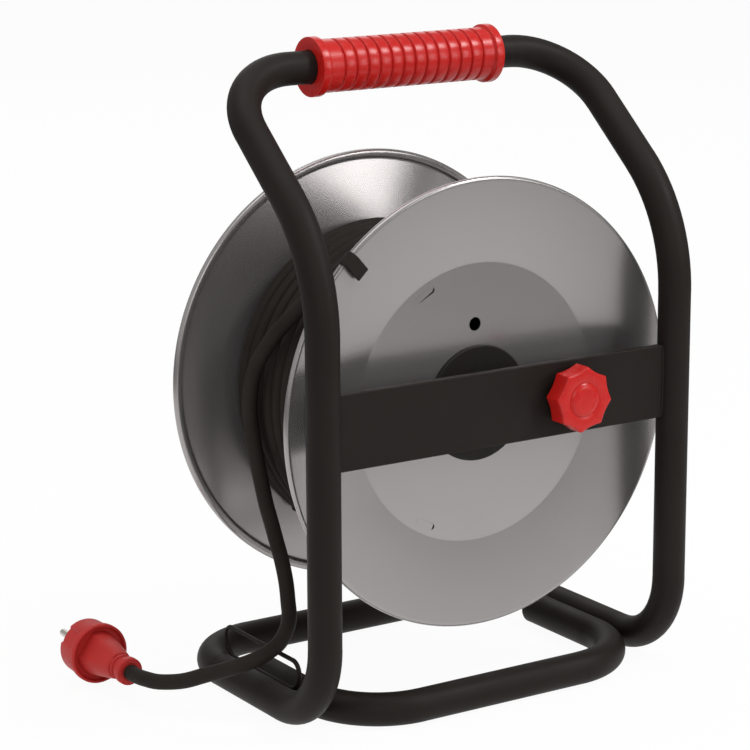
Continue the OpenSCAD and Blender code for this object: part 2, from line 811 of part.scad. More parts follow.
module socket_panel() {
    color("#b72c2a") difference() {
        union() {
            at_axle() sleeve_y(far_disc_y, panel_face_y, panel_r, boss_bore_r);
            at_axle() sleeve_y(hub_back_y, far_disc_y + 1, boss_r, boss_bore_r);
            for (a = socket_angles) at_socket(a) {
                bar_y(well_end_y, far_disc_y + 1, well_r);
                bar_y(panel_face_y - 1, bezel_y, bezel_r);
                hinge_ears();
            }
        }
        for (a = socket_angles) at_socket(a) bar_y(well_end_y - 1, bezel_y + 1, recess_r);
        for (i = [0 : screw_count - 1]) at_angle(i * 360 / screw_count + 30)
            translate([screw_ring_r, 0, 0]) bar_y(far_disc_y - 1, panel_face_y + 1, screw_r);
        at_angle(reset_angle) translate([reset_reach, 0, 0]) bar_y(far_disc_y - 1, panel_face_y + 1, neck_r);
    }
}

module panel_screws() {
    color("#b4b6b8") for (i = [0 : screw_count - 1]) at_angle(i * 360 / screw_count + 30)
        translate([screw_ring_r, 0, 0]) turned() polygon([
            [0, far_inner_y - 4], [screw_r - slide_gap, far_inner_y - 4], [screw_r - slide_gap, panel_face_y],
            [2 * screw_r, panel_face_y], [2 * screw_r, panel_face_y + 1], [screw_r, panel_face_y + 1.6],
            [0, panel_face_y + 1.6]
        ]);
}

module socket_inserts() {
    color("#2a2726") for (a = socket_angles) at_socket(a) difference() {
        bar_y(well_end_y, recess_floor_y, recess_r - slide_gap);
        for (side = [-1, 1]) translate([0, 0, side * pin_step / 2]) {
            bar_y(well_end_y - 1, recess_floor_y + 1, pin_r + 0.4);
            bar_y(well_end_y - 1, contact_step_y, contact_r);
        }
    }
}

module pin_contacts() {
    color("#c9a24a") for (a = socket_angles) at_socket(a) for (side = [-1, 1])
        translate([0, 0, side * pin_step / 2])
            sleeve_y(contact_step_y - contact_l, contact_step_y, contact_r - slide_gap, pin_r + slide_gap);
}

module earth_clips() {
    clip_h = recess_t - 3;
    color("#c9a24a") for (a = socket_angles) at_socket(a) for (side = [-1, 1])
        translate([side * (recess_r - slide_gap - 0.8) - 0.4, recess_floor_y, -2.5]) cube([0.8, clip_h, 5]);
}

module hinge_pins() {
    color("#b4b6b8") for (a = socket_angles) at_socket(a)
        translate([hinge_x, hinge_y, -ear_to]) cylinder(h = 2 * ear_to, d = hinge_d);
}

// Torsion springs in the knuckles' ends, drawn as sleeves
module lid_springs() {
    color("#9a9d9f") for (a = socket_angles) at_socket(a) for (side = [0, 1]) mirror([0, 0, side])
        translate([hinge_x, hinge_y, knuckle_l / 2 + body_gap]) difference() {
            cylinder(h = ear_from - knuckle_l / 2 - 2 * body_gap, d = hinge_d + 1.4);
            translate([0, 0, -1]) cylinder(h = ear_from, d = hinge_d + slide_gap);
        }
}

module socket_lid(a) {
    lid_y = bezel_y + 0.4;
    edge = 0.8;
    color("#26282a") at_socket(a) difference() {
        union() {
            turned() polygon([
                [0, lid_y], [lid_r, lid_y], [lid_r, lid_y + lid_t - edge], [lid_r - edge, lid_y + lid_t], [0, lid_y + lid_t]
            ]);
            translate([lid_r - 3, lid_y, -knuckle_l / 2]) cube([hinge_x - lid_r + 3, lid_t, knuckle_l]);
            translate([hinge_x, hinge_y, -knuckle_l / 2]) cylinder(h = knuckle_l, r = knuckle_r);
            translate([-lid_r - 2, lid_y, -5]) cube([5, lid_t - edge, 10]);
        }
        translate([hinge_x, hinge_y, -knuckle_l]) cylinder(h = 2 * knuckle_l, r = hinge_d / 2 + slide_gap);
    }
}

module centre_cap() {
    lip = 3;
    color("#b72c2a") at_axle() turned() polygon([
        [0, panel_face_y - 1], [boss_bore_r - 2, panel_face_y - 1], [boss_bore_r - 2, panel_face_y - 6],
        [boss_bore_r - slide_gap, panel_face_y - 6], [boss_bore_r - slide_gap, panel_face_y],
        [boss_bore_r + lip, panel_face_y], [boss_bore_r + lip - 1, panel_face_y + 2], [0, panel_face_y + 2]
    ]);
}

cutout_back_y = far_disc_y - 23;
button_back_y = far_disc_y - 4;
button_bore_y = button_back_y - 6;
cutout_neck_y = panel_face_y + 2.5;

module at_reset() at_angle(reset_angle) translate([reset_reach, 0, 0]) children();

module cutout_body() {
    color("#2a2726") at_reset() difference() {
        turned() polygon([
            [0, cutout_back_y], [cutout_r, cutout_back_y], [cutout_r, far_disc_y],
            [neck_r - slide_gap, far_disc_y], [neck_r - slide_gap, cutout_neck_y], [0, cutout_neck_y]
        ]);
        bar_y(button_bore_y, cutout_neck_y + 1, reset_r + 2 * slide_gap);
    }
}

module cutout_nut() {
    color("#26282a") at_reset() sleeve_y(panel_face_y, panel_face_y + 2, cutout_r, neck_r);
}

module reset_spring() {
    color("#9a9d9f") at_reset()
        sleeve_y(button_bore_y, button_back_y - reset_travel - slide_gap, reset_r - slide_gap, reset_r - 1);
}

module reset_button() {
    edge = 0.5;
    top = cutout_neck_y + reset_travel + 1;
    color("#cd3232") at_reset() turned() polygon([
        [0, button_back_y], [reset_r, button_back_y], [reset_r, top - edge], [reset_r - edge, top], [0, top]
    ]);
}

// ---- Winding knob ----

winder_seat_y = far_disc_y + (winder_reach + 7 - disc_r) * cone_slope + seat_gap + 0.1;
winder_head_y = far_inner_y + (winder_reach - 7 - disc_r) * cone_slope - seat_gap - 0.1;
winder_from_y = winder_seat_y + 2.5;
winder_end_y = far_disc_y + winder_l;
winder_step_y = winder_end_y - 5;

module at_winder() at_angle(winder_angle) translate([winder_reach, 0, 0]) children();

module winder_pin() {
    color("#a9acae") at_winder() turned() polygon([
        [0, winder_head_y - 4], [7, winder_head_y - 4], [7, winder_head_y],
        [winder_pin_r - slide_gap, winder_head_y], [winder_pin_r - slide_gap, winder_seat_y],
        [7, winder_seat_y], [7, winder_from_y - body_gap], [winder_pin_r, winder_from_y - body_gap],
        [winder_pin_r, winder_step_y + body_gap], [winder_pin_r + 2.5, winder_step_y + body_gap],
        [winder_pin_r + 2.5, winder_step_y + 2.5], [0, winder_step_y + 2.5]
    ]);
}

module winder_knob() {
    neck = winder_r * 0.62;
    bore = winder_pin_r + slide_gap;
    well = winder_pin_r + 3;
    grip = winder_step_y - winder_from_y;
    color("#26282a") at_winder() turned() polygon([
        [bore, winder_from_y], [winder_r * 0.8, winder_from_y], [winder_r * 0.8, winder_from_y + 2],
        [neck, winder_from_y + 5], [winder_r * 0.78, winder_from_y + grip * 0.5],
        [winder_r, winder_from_y + grip * 0.8], [winder_r, winder_end_y - 3], [winder_r - 3, winder_end_y],
        [well, winder_end_y], [well, winder_step_y], [bore, winder_step_y]
    ]);
}

// ---- Free cord and plug ----

// Plug axis: level, along +Y
plug_x = -198;
plug_z = plug_collar_d / 2;
relief_y = 39.5;

// The cord from under the outer turns, over the drum, down its left side, over the guide and to the plug
cord_route = [
    [55, -57, 113], [72, -57, 124], [87, -57, 139.5], [99, -57, 157.5], [108, -57, 178], [112.5, -57, 201],
    [110.5, -57, 225], [102.5, -57, 247.5], [89, -57, 267], [71.5, -56.5, 283.5], [51, -55.5, 296.5],
    [27.5, -53.5, 305], [3, -50.5, 308.5], [-21.5, -46, 306.5], [-45, -40, 299.5], [-66, -31.5, 287.5],
    [-84, -20.5, 272], [-98.5, -8.5, 253.5], [-108.5, 6, 234], [-114.5, 18, 212.5], [-115.5, 24, 190],
    [-113.5, 24.5, 168], [-110.5, 22.5, 145], [-107, 20, 122.5], [-103.5, 19.4, 109], [-100.1, 18.7, 95.5],
    [-97.9, 15.8, 82.1], [-98.7, 9.7, 69.9], [-102.5, 1.2, 60.2], [-107.9, -9, 54], [-115.6, -17.9, 48.7],
    [-125.8, -23.6, 42.3], [-142, -25.6, 36.9], [-157.8, -20.6, 32.4], [-169.6, -10, 27.3], [-180.7, 0.5, 22.2],
    [-191, 12.5, 20], [-196, 22.5, 20], [-198, 32, 20], [-198, 39.5, 20]
];

module free_cord() {
    color("#262322") swept(cord_route, cord_r, 10);
}

module at_plug() translate([plug_x, 0, plug_z]) children();

relief_end_y = relief_y + relief_l;
collar_y = relief_y + relief_l / 2 + plug_back_l + 1.5;
plug_face_y = collar_y + plug_collar_t + plug_front_l;
pin_tilt = 144;

pin_root_r = pin_r - 0.4;

module plug_body() {
    grip_y = relief_y + relief_l - 10;
    front_r = plug_face_d / 2;
    flat_w = 25;
    color("#a82c2a") at_plug() difference() {
        union() {
            turned() polygon([
                [0, collar_y], [plug_collar_d / 2 - 1, collar_y], [plug_collar_d / 2, collar_y + 1],
                [plug_collar_d / 2, collar_y + plug_collar_t - 1], [front_r, collar_y + plug_collar_t],
                [front_r, plug_face_y - 1], [front_r - 1, plug_face_y], [0, plug_face_y]
            ]);
            intersection() {
                turned() polygon([[0, grip_y], [10.5, grip_y], [17, collar_y], [17, collar_y + 1], [0, collar_y + 1]]);
                rotate([0, pin_tilt, 0]) translate([-18, grip_y - 1, -flat_w / 2])
                    cube([36, collar_y - grip_y + 3, flat_w]);
            }
        }
        bar_y(grip_y - 1, relief_end_y, cord_r + 2);
        rotate([0, -pin_tilt, 0]) {
            for (side = [-1, 1]) translate([side * pin_step / 2, 0, 0])
                bar_y(plug_face_y - 8, plug_face_y + 1, pin_root_r + slide_gap);
            for (side = [-1, 1]) translate([-3.5, plug_face_y - plug_front_l + 1, side * (front_r - 1) - 1.5])
                cube([7, plug_front_l, 3]);
        }
    }
}

module plug_relief() {
    ring_r = 9;
    waist = cord_r + 1.5;
    rib_r = cord_r + 2.8;
    plug_in_r = cord_r + 2 - slide_gap;
    rib_y = relief_y + 6;
    color("#a82c2a") at_plug() turned() polygon([
        [0, relief_y], [ring_r - 1, relief_y], [ring_r, relief_y + 1], [ring_r, relief_y + 4],
        [ring_r - 1, relief_y + 5], [waist, relief_y + 5], [waist, rib_y], [rib_r, rib_y], [rib_r, rib_y + 2],
        [waist, rib_y + 2], [waist, rib_y + 4], [rib_r + 0.6, rib_y + 4], [rib_r + 0.6, rib_y + 6],
        [waist, rib_y + 6], [waist, relief_end_y - 10], [plug_in_r, relief_end_y - 10],
        [plug_in_r, relief_end_y - seat_gap], [0, relief_end_y - seat_gap]
    ]);
}

module plug_pins() {
    tip = 1;
    shoulder_y = plug_face_y + 2 * slide_gap;
    color("#c3c5c6") at_plug() rotate([0, -pin_tilt, 0]) for (side = [-1, 1])
        translate([side * pin_step / 2, 0, 0]) turned() polygon([
            [0, plug_face_y - 7.8], [pin_root_r, plug_face_y - 7.8], [pin_root_r, shoulder_y], [pin_r, shoulder_y],
            [pin_r, plug_face_y + pin_l - tip], [pin_r - tip, plug_face_y + pin_l], [0, plug_face_y + pin_l]
        ]);
}

module plug_earths() {
    front_r = plug_face_d / 2;
    color("#c9a24a") at_plug() rotate([0, -pin_tilt, 0]) for (side = [-1, 1])
        translate([-3.4, plug_face_y - plug_front_l + 1.1, side * (front_r - 1.9) - 0.5])
            cube([6.8, plug_front_l - 1.2, 1]);
}

// ---- Assembly ----

frame_tube();
base_tube();
tube_plugs();
cord_guide();
crossbar();
handle_grip();
axle();
axle_washer();
axle_nut();
brake_nut();
brake_knob();
knob_cap();
brake_spindle();
pad_holder();
brake_pad();
near_flange();
far_flange();
barrel();
near_hub();
hub_ring();
far_hub();
rim_clip();
cord_bed();
wound_cord();
cord_gland();
inner_lead();
terminal_block();
socket_panel();
panel_screws();
socket_inserts();
pin_contacts();
earth_clips();
hinge_pins();
lid_springs();
centre_cap();
socket_lid(socket_angles[0]);  // lid_1
socket_lid(socket_angles[1]);  // lid_2
socket_lid(socket_angles[2]);  // lid_3
socket_lid(socket_angles[3]);  // lid_4
cutout_body();
cutout_nut();
reset_spring();
reset_button();
winder_pin();
winder_knob();
free_cord();
plug_body();
plug_relief();
plug_pins();
plug_earths();
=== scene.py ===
"""Looks of a cord reel: a steel drum on a bent-tube stand, with a screw brake, sockets and its cord.

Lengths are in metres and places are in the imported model's own frame: X runs along the crossbar, Y along
the axle from the brake to the sockets, and Z is up.
"""

import logging
import math
from collections.abc import Iterable
from dataclasses import dataclass
from enum import Enum

import bmesh
import bpy
from bpy.types import ID, Material, Mesh, Node, NodeSocket, NodeTree, Object, World
from mathutils import Matrix, Vector


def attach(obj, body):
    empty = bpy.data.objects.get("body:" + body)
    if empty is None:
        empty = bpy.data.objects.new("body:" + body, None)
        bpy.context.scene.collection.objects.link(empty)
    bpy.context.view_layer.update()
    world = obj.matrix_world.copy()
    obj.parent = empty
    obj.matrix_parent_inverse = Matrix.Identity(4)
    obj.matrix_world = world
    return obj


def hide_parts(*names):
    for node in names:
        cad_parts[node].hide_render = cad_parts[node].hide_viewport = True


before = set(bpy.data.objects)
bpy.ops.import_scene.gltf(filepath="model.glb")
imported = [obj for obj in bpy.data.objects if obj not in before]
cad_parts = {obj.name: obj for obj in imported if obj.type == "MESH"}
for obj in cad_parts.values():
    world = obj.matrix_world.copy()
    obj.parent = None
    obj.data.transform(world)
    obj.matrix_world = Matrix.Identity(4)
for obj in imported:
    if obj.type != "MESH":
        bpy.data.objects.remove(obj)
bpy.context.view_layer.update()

log = logging.getLogger("cord_reel")

MM = 0.001
TURN = 2 * math.pi
# Radius that stands for a point on the axis of a lathed profile
AXIS_R = 1e-5
# Corners nearer than this are one corner, in a mesh that is made here and in a packed one
SAME_SPOT = 1e-7
WELDED = 1e-6
# Edges of a new piece that are sharper than this many degrees stay hard
HARD_EDGE = 40.0
# Share of a side that a rounded corner takes at most, so that two never meet
CORNER_SHARE = 0.45

# Sizes that several sub-assemblies share
BAR_FRONT_Y = -0.0965
BAR_BACK_Y = -0.0915
NEAR_DISC_Y = -0.063
FAR_DISC_Y = 0.0654
PANEL_FACE_Y = 0.0684
AXLE_Z = 0.1915
CORD_RADIUS = 0.005


class Body(Enum):
    """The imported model's bodies that new pieces ride on."""

    FRAME = "frame"
    DRUM = "drum"
    BRAKE_KNOB = "brake_knob"
    WINDER = "winder_knob"


class Slot(Enum):
    """The record's material slots."""

    FRAME_BLACK = "frame_black"
    DRUM_STEEL = "drum_steel"
    ZINC_STEEL = "zinc_steel"
    RED_PLASTIC = "red_plastic"
    BLACK_PLASTIC = "black_plastic"
    BLACK_RUBBER = "black_rubber"
    RED_RUBBER = "red_rubber"
    NICKEL_BRASS = "nickel_brass"


# ---- finishes


def linear(hex_colour: str) -> tuple[float, float, float, float]:
    """Turns an sRGB hex colour into Blender's linear one.

    Args:
        hex_colour: Six hex digits, with or without a leading hash.

    Returns:
        Linear red, green and blue, and an alpha of 1.
    """
    digits = hex_colour.lstrip("#")
    parts = [int(digits[i : i + 2], 16) / 255 for i in (0, 2, 4)]
    red, green, blue = (c / 12.92 if c <= 0.04045 else ((c + 0.055) / 1.055) ** 2.4 for c in parts)
    return (red, green, blue, 1.0)


def add_node(tree: NodeTree, kind: str, inputs: dict | None = None, **settings: object) -> Node:
    """Adds a node to a tree.

    Args:
        tree: The node tree.
        kind: The node's type name.
        inputs: Socket name or number to a constant, an output, or a node, which gives its first output.
        settings: Values of the node's own properties.

    Returns:
        The new node.
    """
    node = tree.nodes.new(kind)
    for key, value in settings.items():
        setattr(node, key, value)
    for key, value in (inputs or {}).items():
        if isinstance(value, Node):
            value = value.outputs[0]
        if isinstance(value, NodeSocket):
            tree.links.new(value, node.inputs[key])
        else:
            node.inputs[key].default_value = value
    return node


def emptied(owner: Material | World) -> NodeTree:
    """Gives a material or world a node tree with nothing in it.

    Args:
        owner: The material or world.

    Returns:
        The empty tree.
    """
    owner.use_nodes = True
    owner.node_tree.nodes.clear()
    return owner.node_tree


def linked(name: str, data: ID) -> Object:
    """Puts a new object into the scene.

    Args:
        name: Its name.
        data: Its mesh, lamp or camera.

    Returns:
        The object.
    """
    obj = bpy.data.objects.new(name, data)
    bpy.context.scene.collection.objects.link(obj)
    return obj


@dataclass(frozen=True)
class Finish:
    """A surface finish: two near colours in patches, a span of roughness and a fine relief."""

    name: str
    colour: str
    shade: str
    roughness: tuple[float, float]
    patch: float = 0.04
    grain: float = 0.0006
    relief: float = 0.00001
    ior: float = 1.5
    metallic: float = 0.0
    specular: float = 0.5

    def relief_place(self, tree: NodeTree, place: NodeSocket) -> NodeSocket:
        """Returns the coordinates that the fine relief is drawn in."""
        return place

    def material(self) -> Material:
        """Returns the finish's material, and builds it the first time.

        Returns:
            The material.
        """
        made = bpy.data.materials.get(self.name)
        if made:
            return made
        made = bpy.data.materials.new(self.name)
        tree = emptied(made)
        place = add_node(tree, "ShaderNodeTexCoord").outputs["Object"]
        # A noise keeps near its middle, so that part of it is spread over the whole span
        mapped = []
        tone_noise, rough_noise = (self.patch, 3.0, (0.0, 1.0)), (self.patch * 0.7, 2.0, self.roughness)
        for size, detail, (low, high) in (tone_noise, rough_noise):
            noise = {"Vector": place, "Scale": 1 / size, "Detail": detail}
            patches = add_node(tree, "ShaderNodeTexNoise", noise)
            ends = {"Value": patches, "From Min": 0.3, "From Max": 0.7, "To Min": low, "To Max": high}
            mapped.append(add_node(tree, "ShaderNodeMapRange", ends))
        tone, roughness = mapped
        colours = {0: tone, 6: linear(self.colour), 7: linear(self.shade)}
        colour = add_node(tree, "ShaderNodeMix", colours, data_type="RGBA").outputs[2]
        fine = {"Vector": self.relief_place(tree, place), "Scale": 1 / self.grain, "Detail": 1.0}
        height = add_node(tree, "ShaderNodeTexNoise", fine)
        skin = {"Height": height, "Distance": self.relief, "Strength": 1.0}
        bump = add_node(tree, "ShaderNodeBump", skin)
        looks = {"Base Color": colour, "Roughness": roughness, "Metallic": self.metallic, "Normal": bump}
        if self.metallic < 1:
            looks |= {"IOR": self.ior, "Specular IOR Level": self.specular}
        shader = add_node(tree, "ShaderNodeBsdfPrincipled", looks)
        add_node(tree, "ShaderNodeOutputMaterial", {"Surface": shader})
        return made


@dataclass(frozen=True)
class RolledSheet(Finish):
    """Cold-rolled sheet: faint streaks as wide as the grain, drawn out along Z by the rolling."""

    streak_length: float = 0.06

    def relief_place(self, tree: NodeTree, place: NodeSocket) -> NodeSocket:
        """Returns coordinates that are stretched along Z."""
        stretch = {"Vector": place, "Scale": (1.0, 1.0, self.grain / self.streak_length)}
        return add_node(tree, "ShaderNodeMapping", stretch, vector_type="POINT").outputs["Vector"]


# Satin black polyester powder, sprayed and baked: a soft sheen with a shallow orange peel 1.5 mm across
POWDER_COAT = Finish("powder_coat_black", "#1d1815", "#211b18", (0.5, 0.58), grain=0.0015, specular=0.14)
# Zinc-plated cold-rolled sheet: an even grey metal, satin, with faint rolling streaks a millimetre apart
ZINC_SHEET = RolledSheet(
    "zinc_plated_sheet",
    "#a7a3a2",
    "#a5a1a0",
    (0.265, 0.275),
    patch=0.3,
    grain=0.0012,
    relief=4e-7,
    metallic=0.8,
    specular=0.3,
)
# Zinc-plated turned steel of screws, nuts and pins: brighter than the sheet
ZINC_STEEL = Finish(
    "zinc_plated_steel", "#b4b5b6", "#a3a5a8", (0.25, 0.38), 0.008, 0.0007, 4e-6, metallic=1.0
)
# Glossy red polypropylene of grip and knob, moulded: a broad soft highlight and an almost smooth skin
RED_POLYPROPYLENE = Finish(
    "red_polypropylene", "#c01e19", "#ba1b17", (0.24, 0.31), 0.03, 0.0008, 4e-6, specular=0.3
)
# Red socket panel, moulded ABS with a fine spark-eroded texture
RED_ABS = Finish("red_abs", "#bf2d2b", "#b82827", (0.4, 0.48), 0.05, 0.0007, 1.2e-5)
# Black glass-filled nylon of hubs, lids and winding knob: dry, with a visible moulding texture
BLACK_NYLON = Finish("black_nylon", "#191512", "#1d1916", (0.5, 0.6), 0.02, 0.0008, 1.5e-5, specular=0.25)
# Black neoprene sheath of the cord: matt, with a faint bloom in patches
CORD_RUBBER = Finish("neoprene_cord", "#25201c", "#2b2622", (0.6, 0.7), 0.025, relief=2e-5, specular=0.12)
# Black moulded rubber of clip, pad and gland: as matt as the cord
BLACK_RUBBER = Finish(
    "moulded_rubber", "#1e1a16", "#231e1a", (0.62, 0.72), 0.015, 0.0007, 2e-5, specular=0.18
)
# Red soft PVC of the plug: duller and deeper than the hard plastic
RED_PVC = Finish("red_soft_pvc", "#c2322e", "#b92e2b", (0.48, 0.56), 0.015, 0.0007, specular=0.25)
# Nickel-plated brass of plug pins: a warm bright metal
NICKEL_BRASS = Finish(
    "nickel_plated_brass", "#cfcbc3", "#c4bfb6", (0.18, 0.26), 0.006, 0.0008, 2e-6, metallic=1.0
)
# Bare drawn brass of the contacts: yellow and satin
BRASS = Finish("drawn_brass", "#c9a04e", "#b98f42", (0.24, 0.34), 0.005, 0.0008, 3e-6, metallic=1.0)
# Painted shade of a punched slot: near-black plates under the tabs, standing for the dark hole and its
# shadow
SLOT_SHADE_PAINT = Finish("painted_slot_shade", "#161413", "#1c1a19", (0.6, 0.7), 0.004, specular=0.1)
# Off-white urea resin of the terminal block: a hard, slightly glossy skin
WHITE_UREA = Finish("white_urea", "#dcd7ca", "#d2ccbd", (0.35, 0.45), 0.01)


# ---- mesh making

Point = tuple[float, float, float] | Vector
Ring = list[Vector]
Profile = list[tuple[float, float]]
Corners = tuple[tuple[float, float], ...]


@dataclass
class Shell:
    """Corners and faces of a skin."""

    verts: list[Vector]
    faces: list[tuple[int, ...]]

    @classmethod
    def loft(cls, rings: list[Ring], closed: bool = False) -> "Shell":
        """Joins rings of equal count into a skin.

        Args:
            rings: The rings in order.
            closed: True joins the last ring to the first; otherwise both ends are capped.

        Returns:
            The skin.
        """
        total, count = len(rings), len(rings[0])
        faces: list[tuple[int, ...]] = []
        for i in range(total if closed else total - 1):
            low, high = i * count, (i + 1) % total * count
            for k in range(count):
                after = (k + 1) % count
                faces.append((low + k, low + after, high + after, high + k))
        if not closed:
            last = (total - 1) * count
            faces += [tuple(range(count - 1, -1, -1)), tuple(range(last, last + count))]
        return cls([v for ring in rings for v in ring], faces)

    @classmethod
    def joined(cls, parts: Iterable["Shell"]) -> "Shell":
        """Joins several shells.

        Args:
            parts: The shells in order.

        Returns:
            One shell of them all.
        """
        verts: list[Vector] = []
        faces: list[tuple[int, ...]] = []
        for part in parts:
            faces += [tuple(len(verts) + i for i in face) for face in part.faces]
            verts += part.verts
        return cls(verts, faces)

    def moved(self, matrix: Matrix) -> "Shell":
        """Returns a copy carried by a matrix."""
        return Shell([matrix @ v for v in self.verts], self.faces)


def polar(radius: float, y: float, angle: float) -> Vector:
    """Returns the point at a radius and an angle in radians round the Y axis."""
    return Vector((radius * math.cos(angle), y, radius * math.sin(angle)))


def around(centre: Vector, across: Vector, along: Vector, count: int) -> Ring:
    """Returns the corners of an ellipse with these two half axes."""
    turns = [TURN * k / count for k in range(count)]
    return [centre + math.cos(a) * across + math.sin(a) * along for a in turns]


def round_ring(radius: float, y: float, count: int = 96) -> Ring:
    """Returns a circle round the Y axis."""
    return around(Vector((0, y, 0)), Vector((radius, 0, 0)), Vector((0, 0, radius)), count)


def lathe(profile: Profile, count: int = 96, closed: bool = False) -> Shell:
    """Returns a profile of (radius, y) points turned round the Y axis; a closed one is a loop."""
    return Shell.loft([round_ring(max(r, AXIS_R), y, count) for r, y in profile], closed)


def at_station(profile: Corners, y: float = 0.0) -> Profile:
    """Returns a profile that is given in millimetres from a station along Y, in metres."""
    return [(r * MM, y + rise * MM) for r, rise in profile]


def rounded(profile: Profile, radius: float, steps: int, closed: bool = False) -> Profile:
    """Rounds a profile's corners.

    Args:
        profile: Corner points in a plane.
        radius: Largest radius of a corner.
        steps: Points in each rounded corner, less one.
        closed: True for a loop.

    Returns:
        The profile with its corners rounded.
    """
    out: Profile = []
    count = len(profile)
    for i, corner in enumerate(profile):
        if not closed and i in (0, count - 1):
            out.append(corner)
            continue
        here, before, after = (Vector(profile[j % count]) for j in (i, i - 1, i + 1))
        back, ahead = before - here, after - here
        reach = min(radius, back.length * CORNER_SHARE, ahead.length * CORNER_SHARE)
        start, stop = here + back.normalized() * reach, here + ahead.normalized() * reach
        for k in range(steps + 1):
            t = k / steps
            p = start * (1 - t) ** 2 + here * 2 * t * (1 - t) + stop * t**2
            out.append((p.x, p.y))
    return out


@dataclass(frozen=True)
class Turned:
    """A turned shape: its profile in millimetres from a station along Y, with its corners softened."""

    y: float
    soft: float
    profile: Corners
    steps: int = 4
    closed: bool = False

    def points(self) -> Profile:
        """Returns the rounded profile in metres."""
        return rounded(at_station(self.profile, self.y), self.soft, self.steps, self.closed)

    def shell(self, count: int = 96) -> Shell:
        """Returns the shape with this many corners round the Y axis."""
        return lathe(self.points(), count, self.closed)


def through(points: list[Point], steps: int) -> list[Vector]:
    """Runs a smooth curve through points.

    Args:
        points: The points in order.
        steps: Points of the result for each span.

    Returns:
        Points along a Catmull-Rom curve, ends included.
    """
    p = [Vector(q) for q in points]
    p = [2 * p[0] - p[1], *p, 2 * p[-1] - p[-2]]
    out = []
    for i in range(1, len(p) - 2):
        for k in range(steps):
            t = k / steps
            a, b, c, d = p[i - 1 : i + 3]
            square, cube = 2 * a - 5 * b + 4 * c - d, 3 * b - a - 3 * c + d
            out.append(0.5 * (2 * b + (c - a) * t + square * t**2 + cube * t**3))
    out.append(p[-2])
    return out


def tube(path: list[Vector], radius: float, sides: int, blunt: float = 0.0) -> Shell:
    """Sweeps a circle along a path without twist.

    Args:
        path: Points of the centreline.
        radius: Radius of the tube.
        sides: Corners round the tube.
        blunt: Radius of the rounding at both ends.

    Returns:
        The capped tube.
    """
    rings: list[Ring] = []
    last = normal = Vector()
    for i, here in enumerate(path):
        way = (path[min(i + 1, len(path) - 1)] - path[max(i - 1, 0)]).normalized()
        normal = last.rotation_difference(way) @ normal if i else way.orthogonal()
        normal.normalize()
        last = way
        rings.append(around(here, radius * normal, radius * way.cross(normal), sides))
    if blunt:
        for end, beyond in ((0, 1), (-1, -2)):
            middle = path[end]
            way = (path[end] - path[beyond]).normalized()
            tip = [middle + (v - middle) * (1 - blunt / radius) for v in rings[end]]
            rings[end] = [v - way * blunt for v in rings[end]]
            rings.insert(0 if end == 0 else len(rings), tip)
    return Shell.loft(rings)


def at_axle(angle: float = 0.0, reach: float = 0.0) -> Matrix:
    """Returns the place at an angle in degrees round the axle and a reach from it, its X outwards."""
    turned = Matrix.Rotation(-math.radians(angle), 4, "Y")
    return Matrix.Translation((0, 0, AXLE_Z)) @ turned @ Matrix.Translation((reach, 0, 0))


def smooth_edges(mesh: Mesh, angle: float) -> None:
    """Shades a mesh smooth, with hard edges where its faces meet at more than an angle in degrees."""
    mesh.shade_smooth()
    mesh.set_sharp_from_angle(angle=math.radians(angle))


def solid_mesh(name: str, shell: Shell) -> Mesh:
    """Makes a mesh whose faces look outwards and whose doubled corners are merged.

    Args:
        name: The mesh's name.
        shell: Its corners and faces.

    Returns:
        The mesh.
    """
    mesh = bpy.data.meshes.new(name)
    mesh.from_pydata([tuple(v) for v in shell.verts], [], shell.faces)
    build = bmesh.new()
    build.from_mesh(mesh)
    bmesh.ops.remove_doubles(build, verts=build.verts, dist=SAME_SPOT)
    bmesh.ops.recalc_face_normals(build, faces=build.faces)
    build.to_mesh(mesh)
    build.free()
    return mesh


def piece(
    name: str,
    shell: Shell,
    finish: Finish,
    body: Body,
    node: str | None = None,
    angle: float = HARD_EDGE,
) -> Object:
    """Makes one visible piece that rides on a body.

    Args:
        name: The piece's name.
        shell: Its corners and faces in the row frame.
        finish: Its surface finish.
        body: The body that it moves with.
        node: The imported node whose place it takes, if any.
        angle: Edges sharper than this many degrees stay hard.

    Returns:
        The new object.
    """
    mesh = solid_mesh(name, shell)
    smooth_edges(mesh, angle)
    obj = linked(name, mesh)
    mesh.materials.append(finish.material())
    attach(obj, body.value)
    if node:
        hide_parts(node)
    log.info("piece %s on %s: %d faces", name, body.value, len(mesh.polygons))
    return obj


def dress(node: str, finish: Finish, edge: float = 0.0, angle: float = 35.0) -> None:
    """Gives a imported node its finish, and softens its edges.

    Args:
        node: The node's name.
        finish: Its surface finish.
        edge: Width of the softened edges in metres, or 0 to leave them.
        angle: Edges sharper than this many degrees count.
    """
    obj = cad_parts[node]
    obj.data.materials.clear()
    obj.data.materials.append(finish.material())
    if edge:
        weld = obj.modifiers.new("weld", "WELD")
        weld.merge_threshold = WELDED
        bevel = obj.modifiers.new("edge", "BEVEL")
        bevel.width = edge
        bevel.segments = 2
        bevel.limit_method = "ANGLE"
        bevel.angle_limit = math.radians(angle)
        bevel.use_clamp_overlap = True
        even = obj.modifiers.new("even", "WEIGHTED_NORMAL")
        even.keep_sharp = False
        even.weight = 100
    log.info("node %s dressed in %s", node, finish.name)


# ---- studio


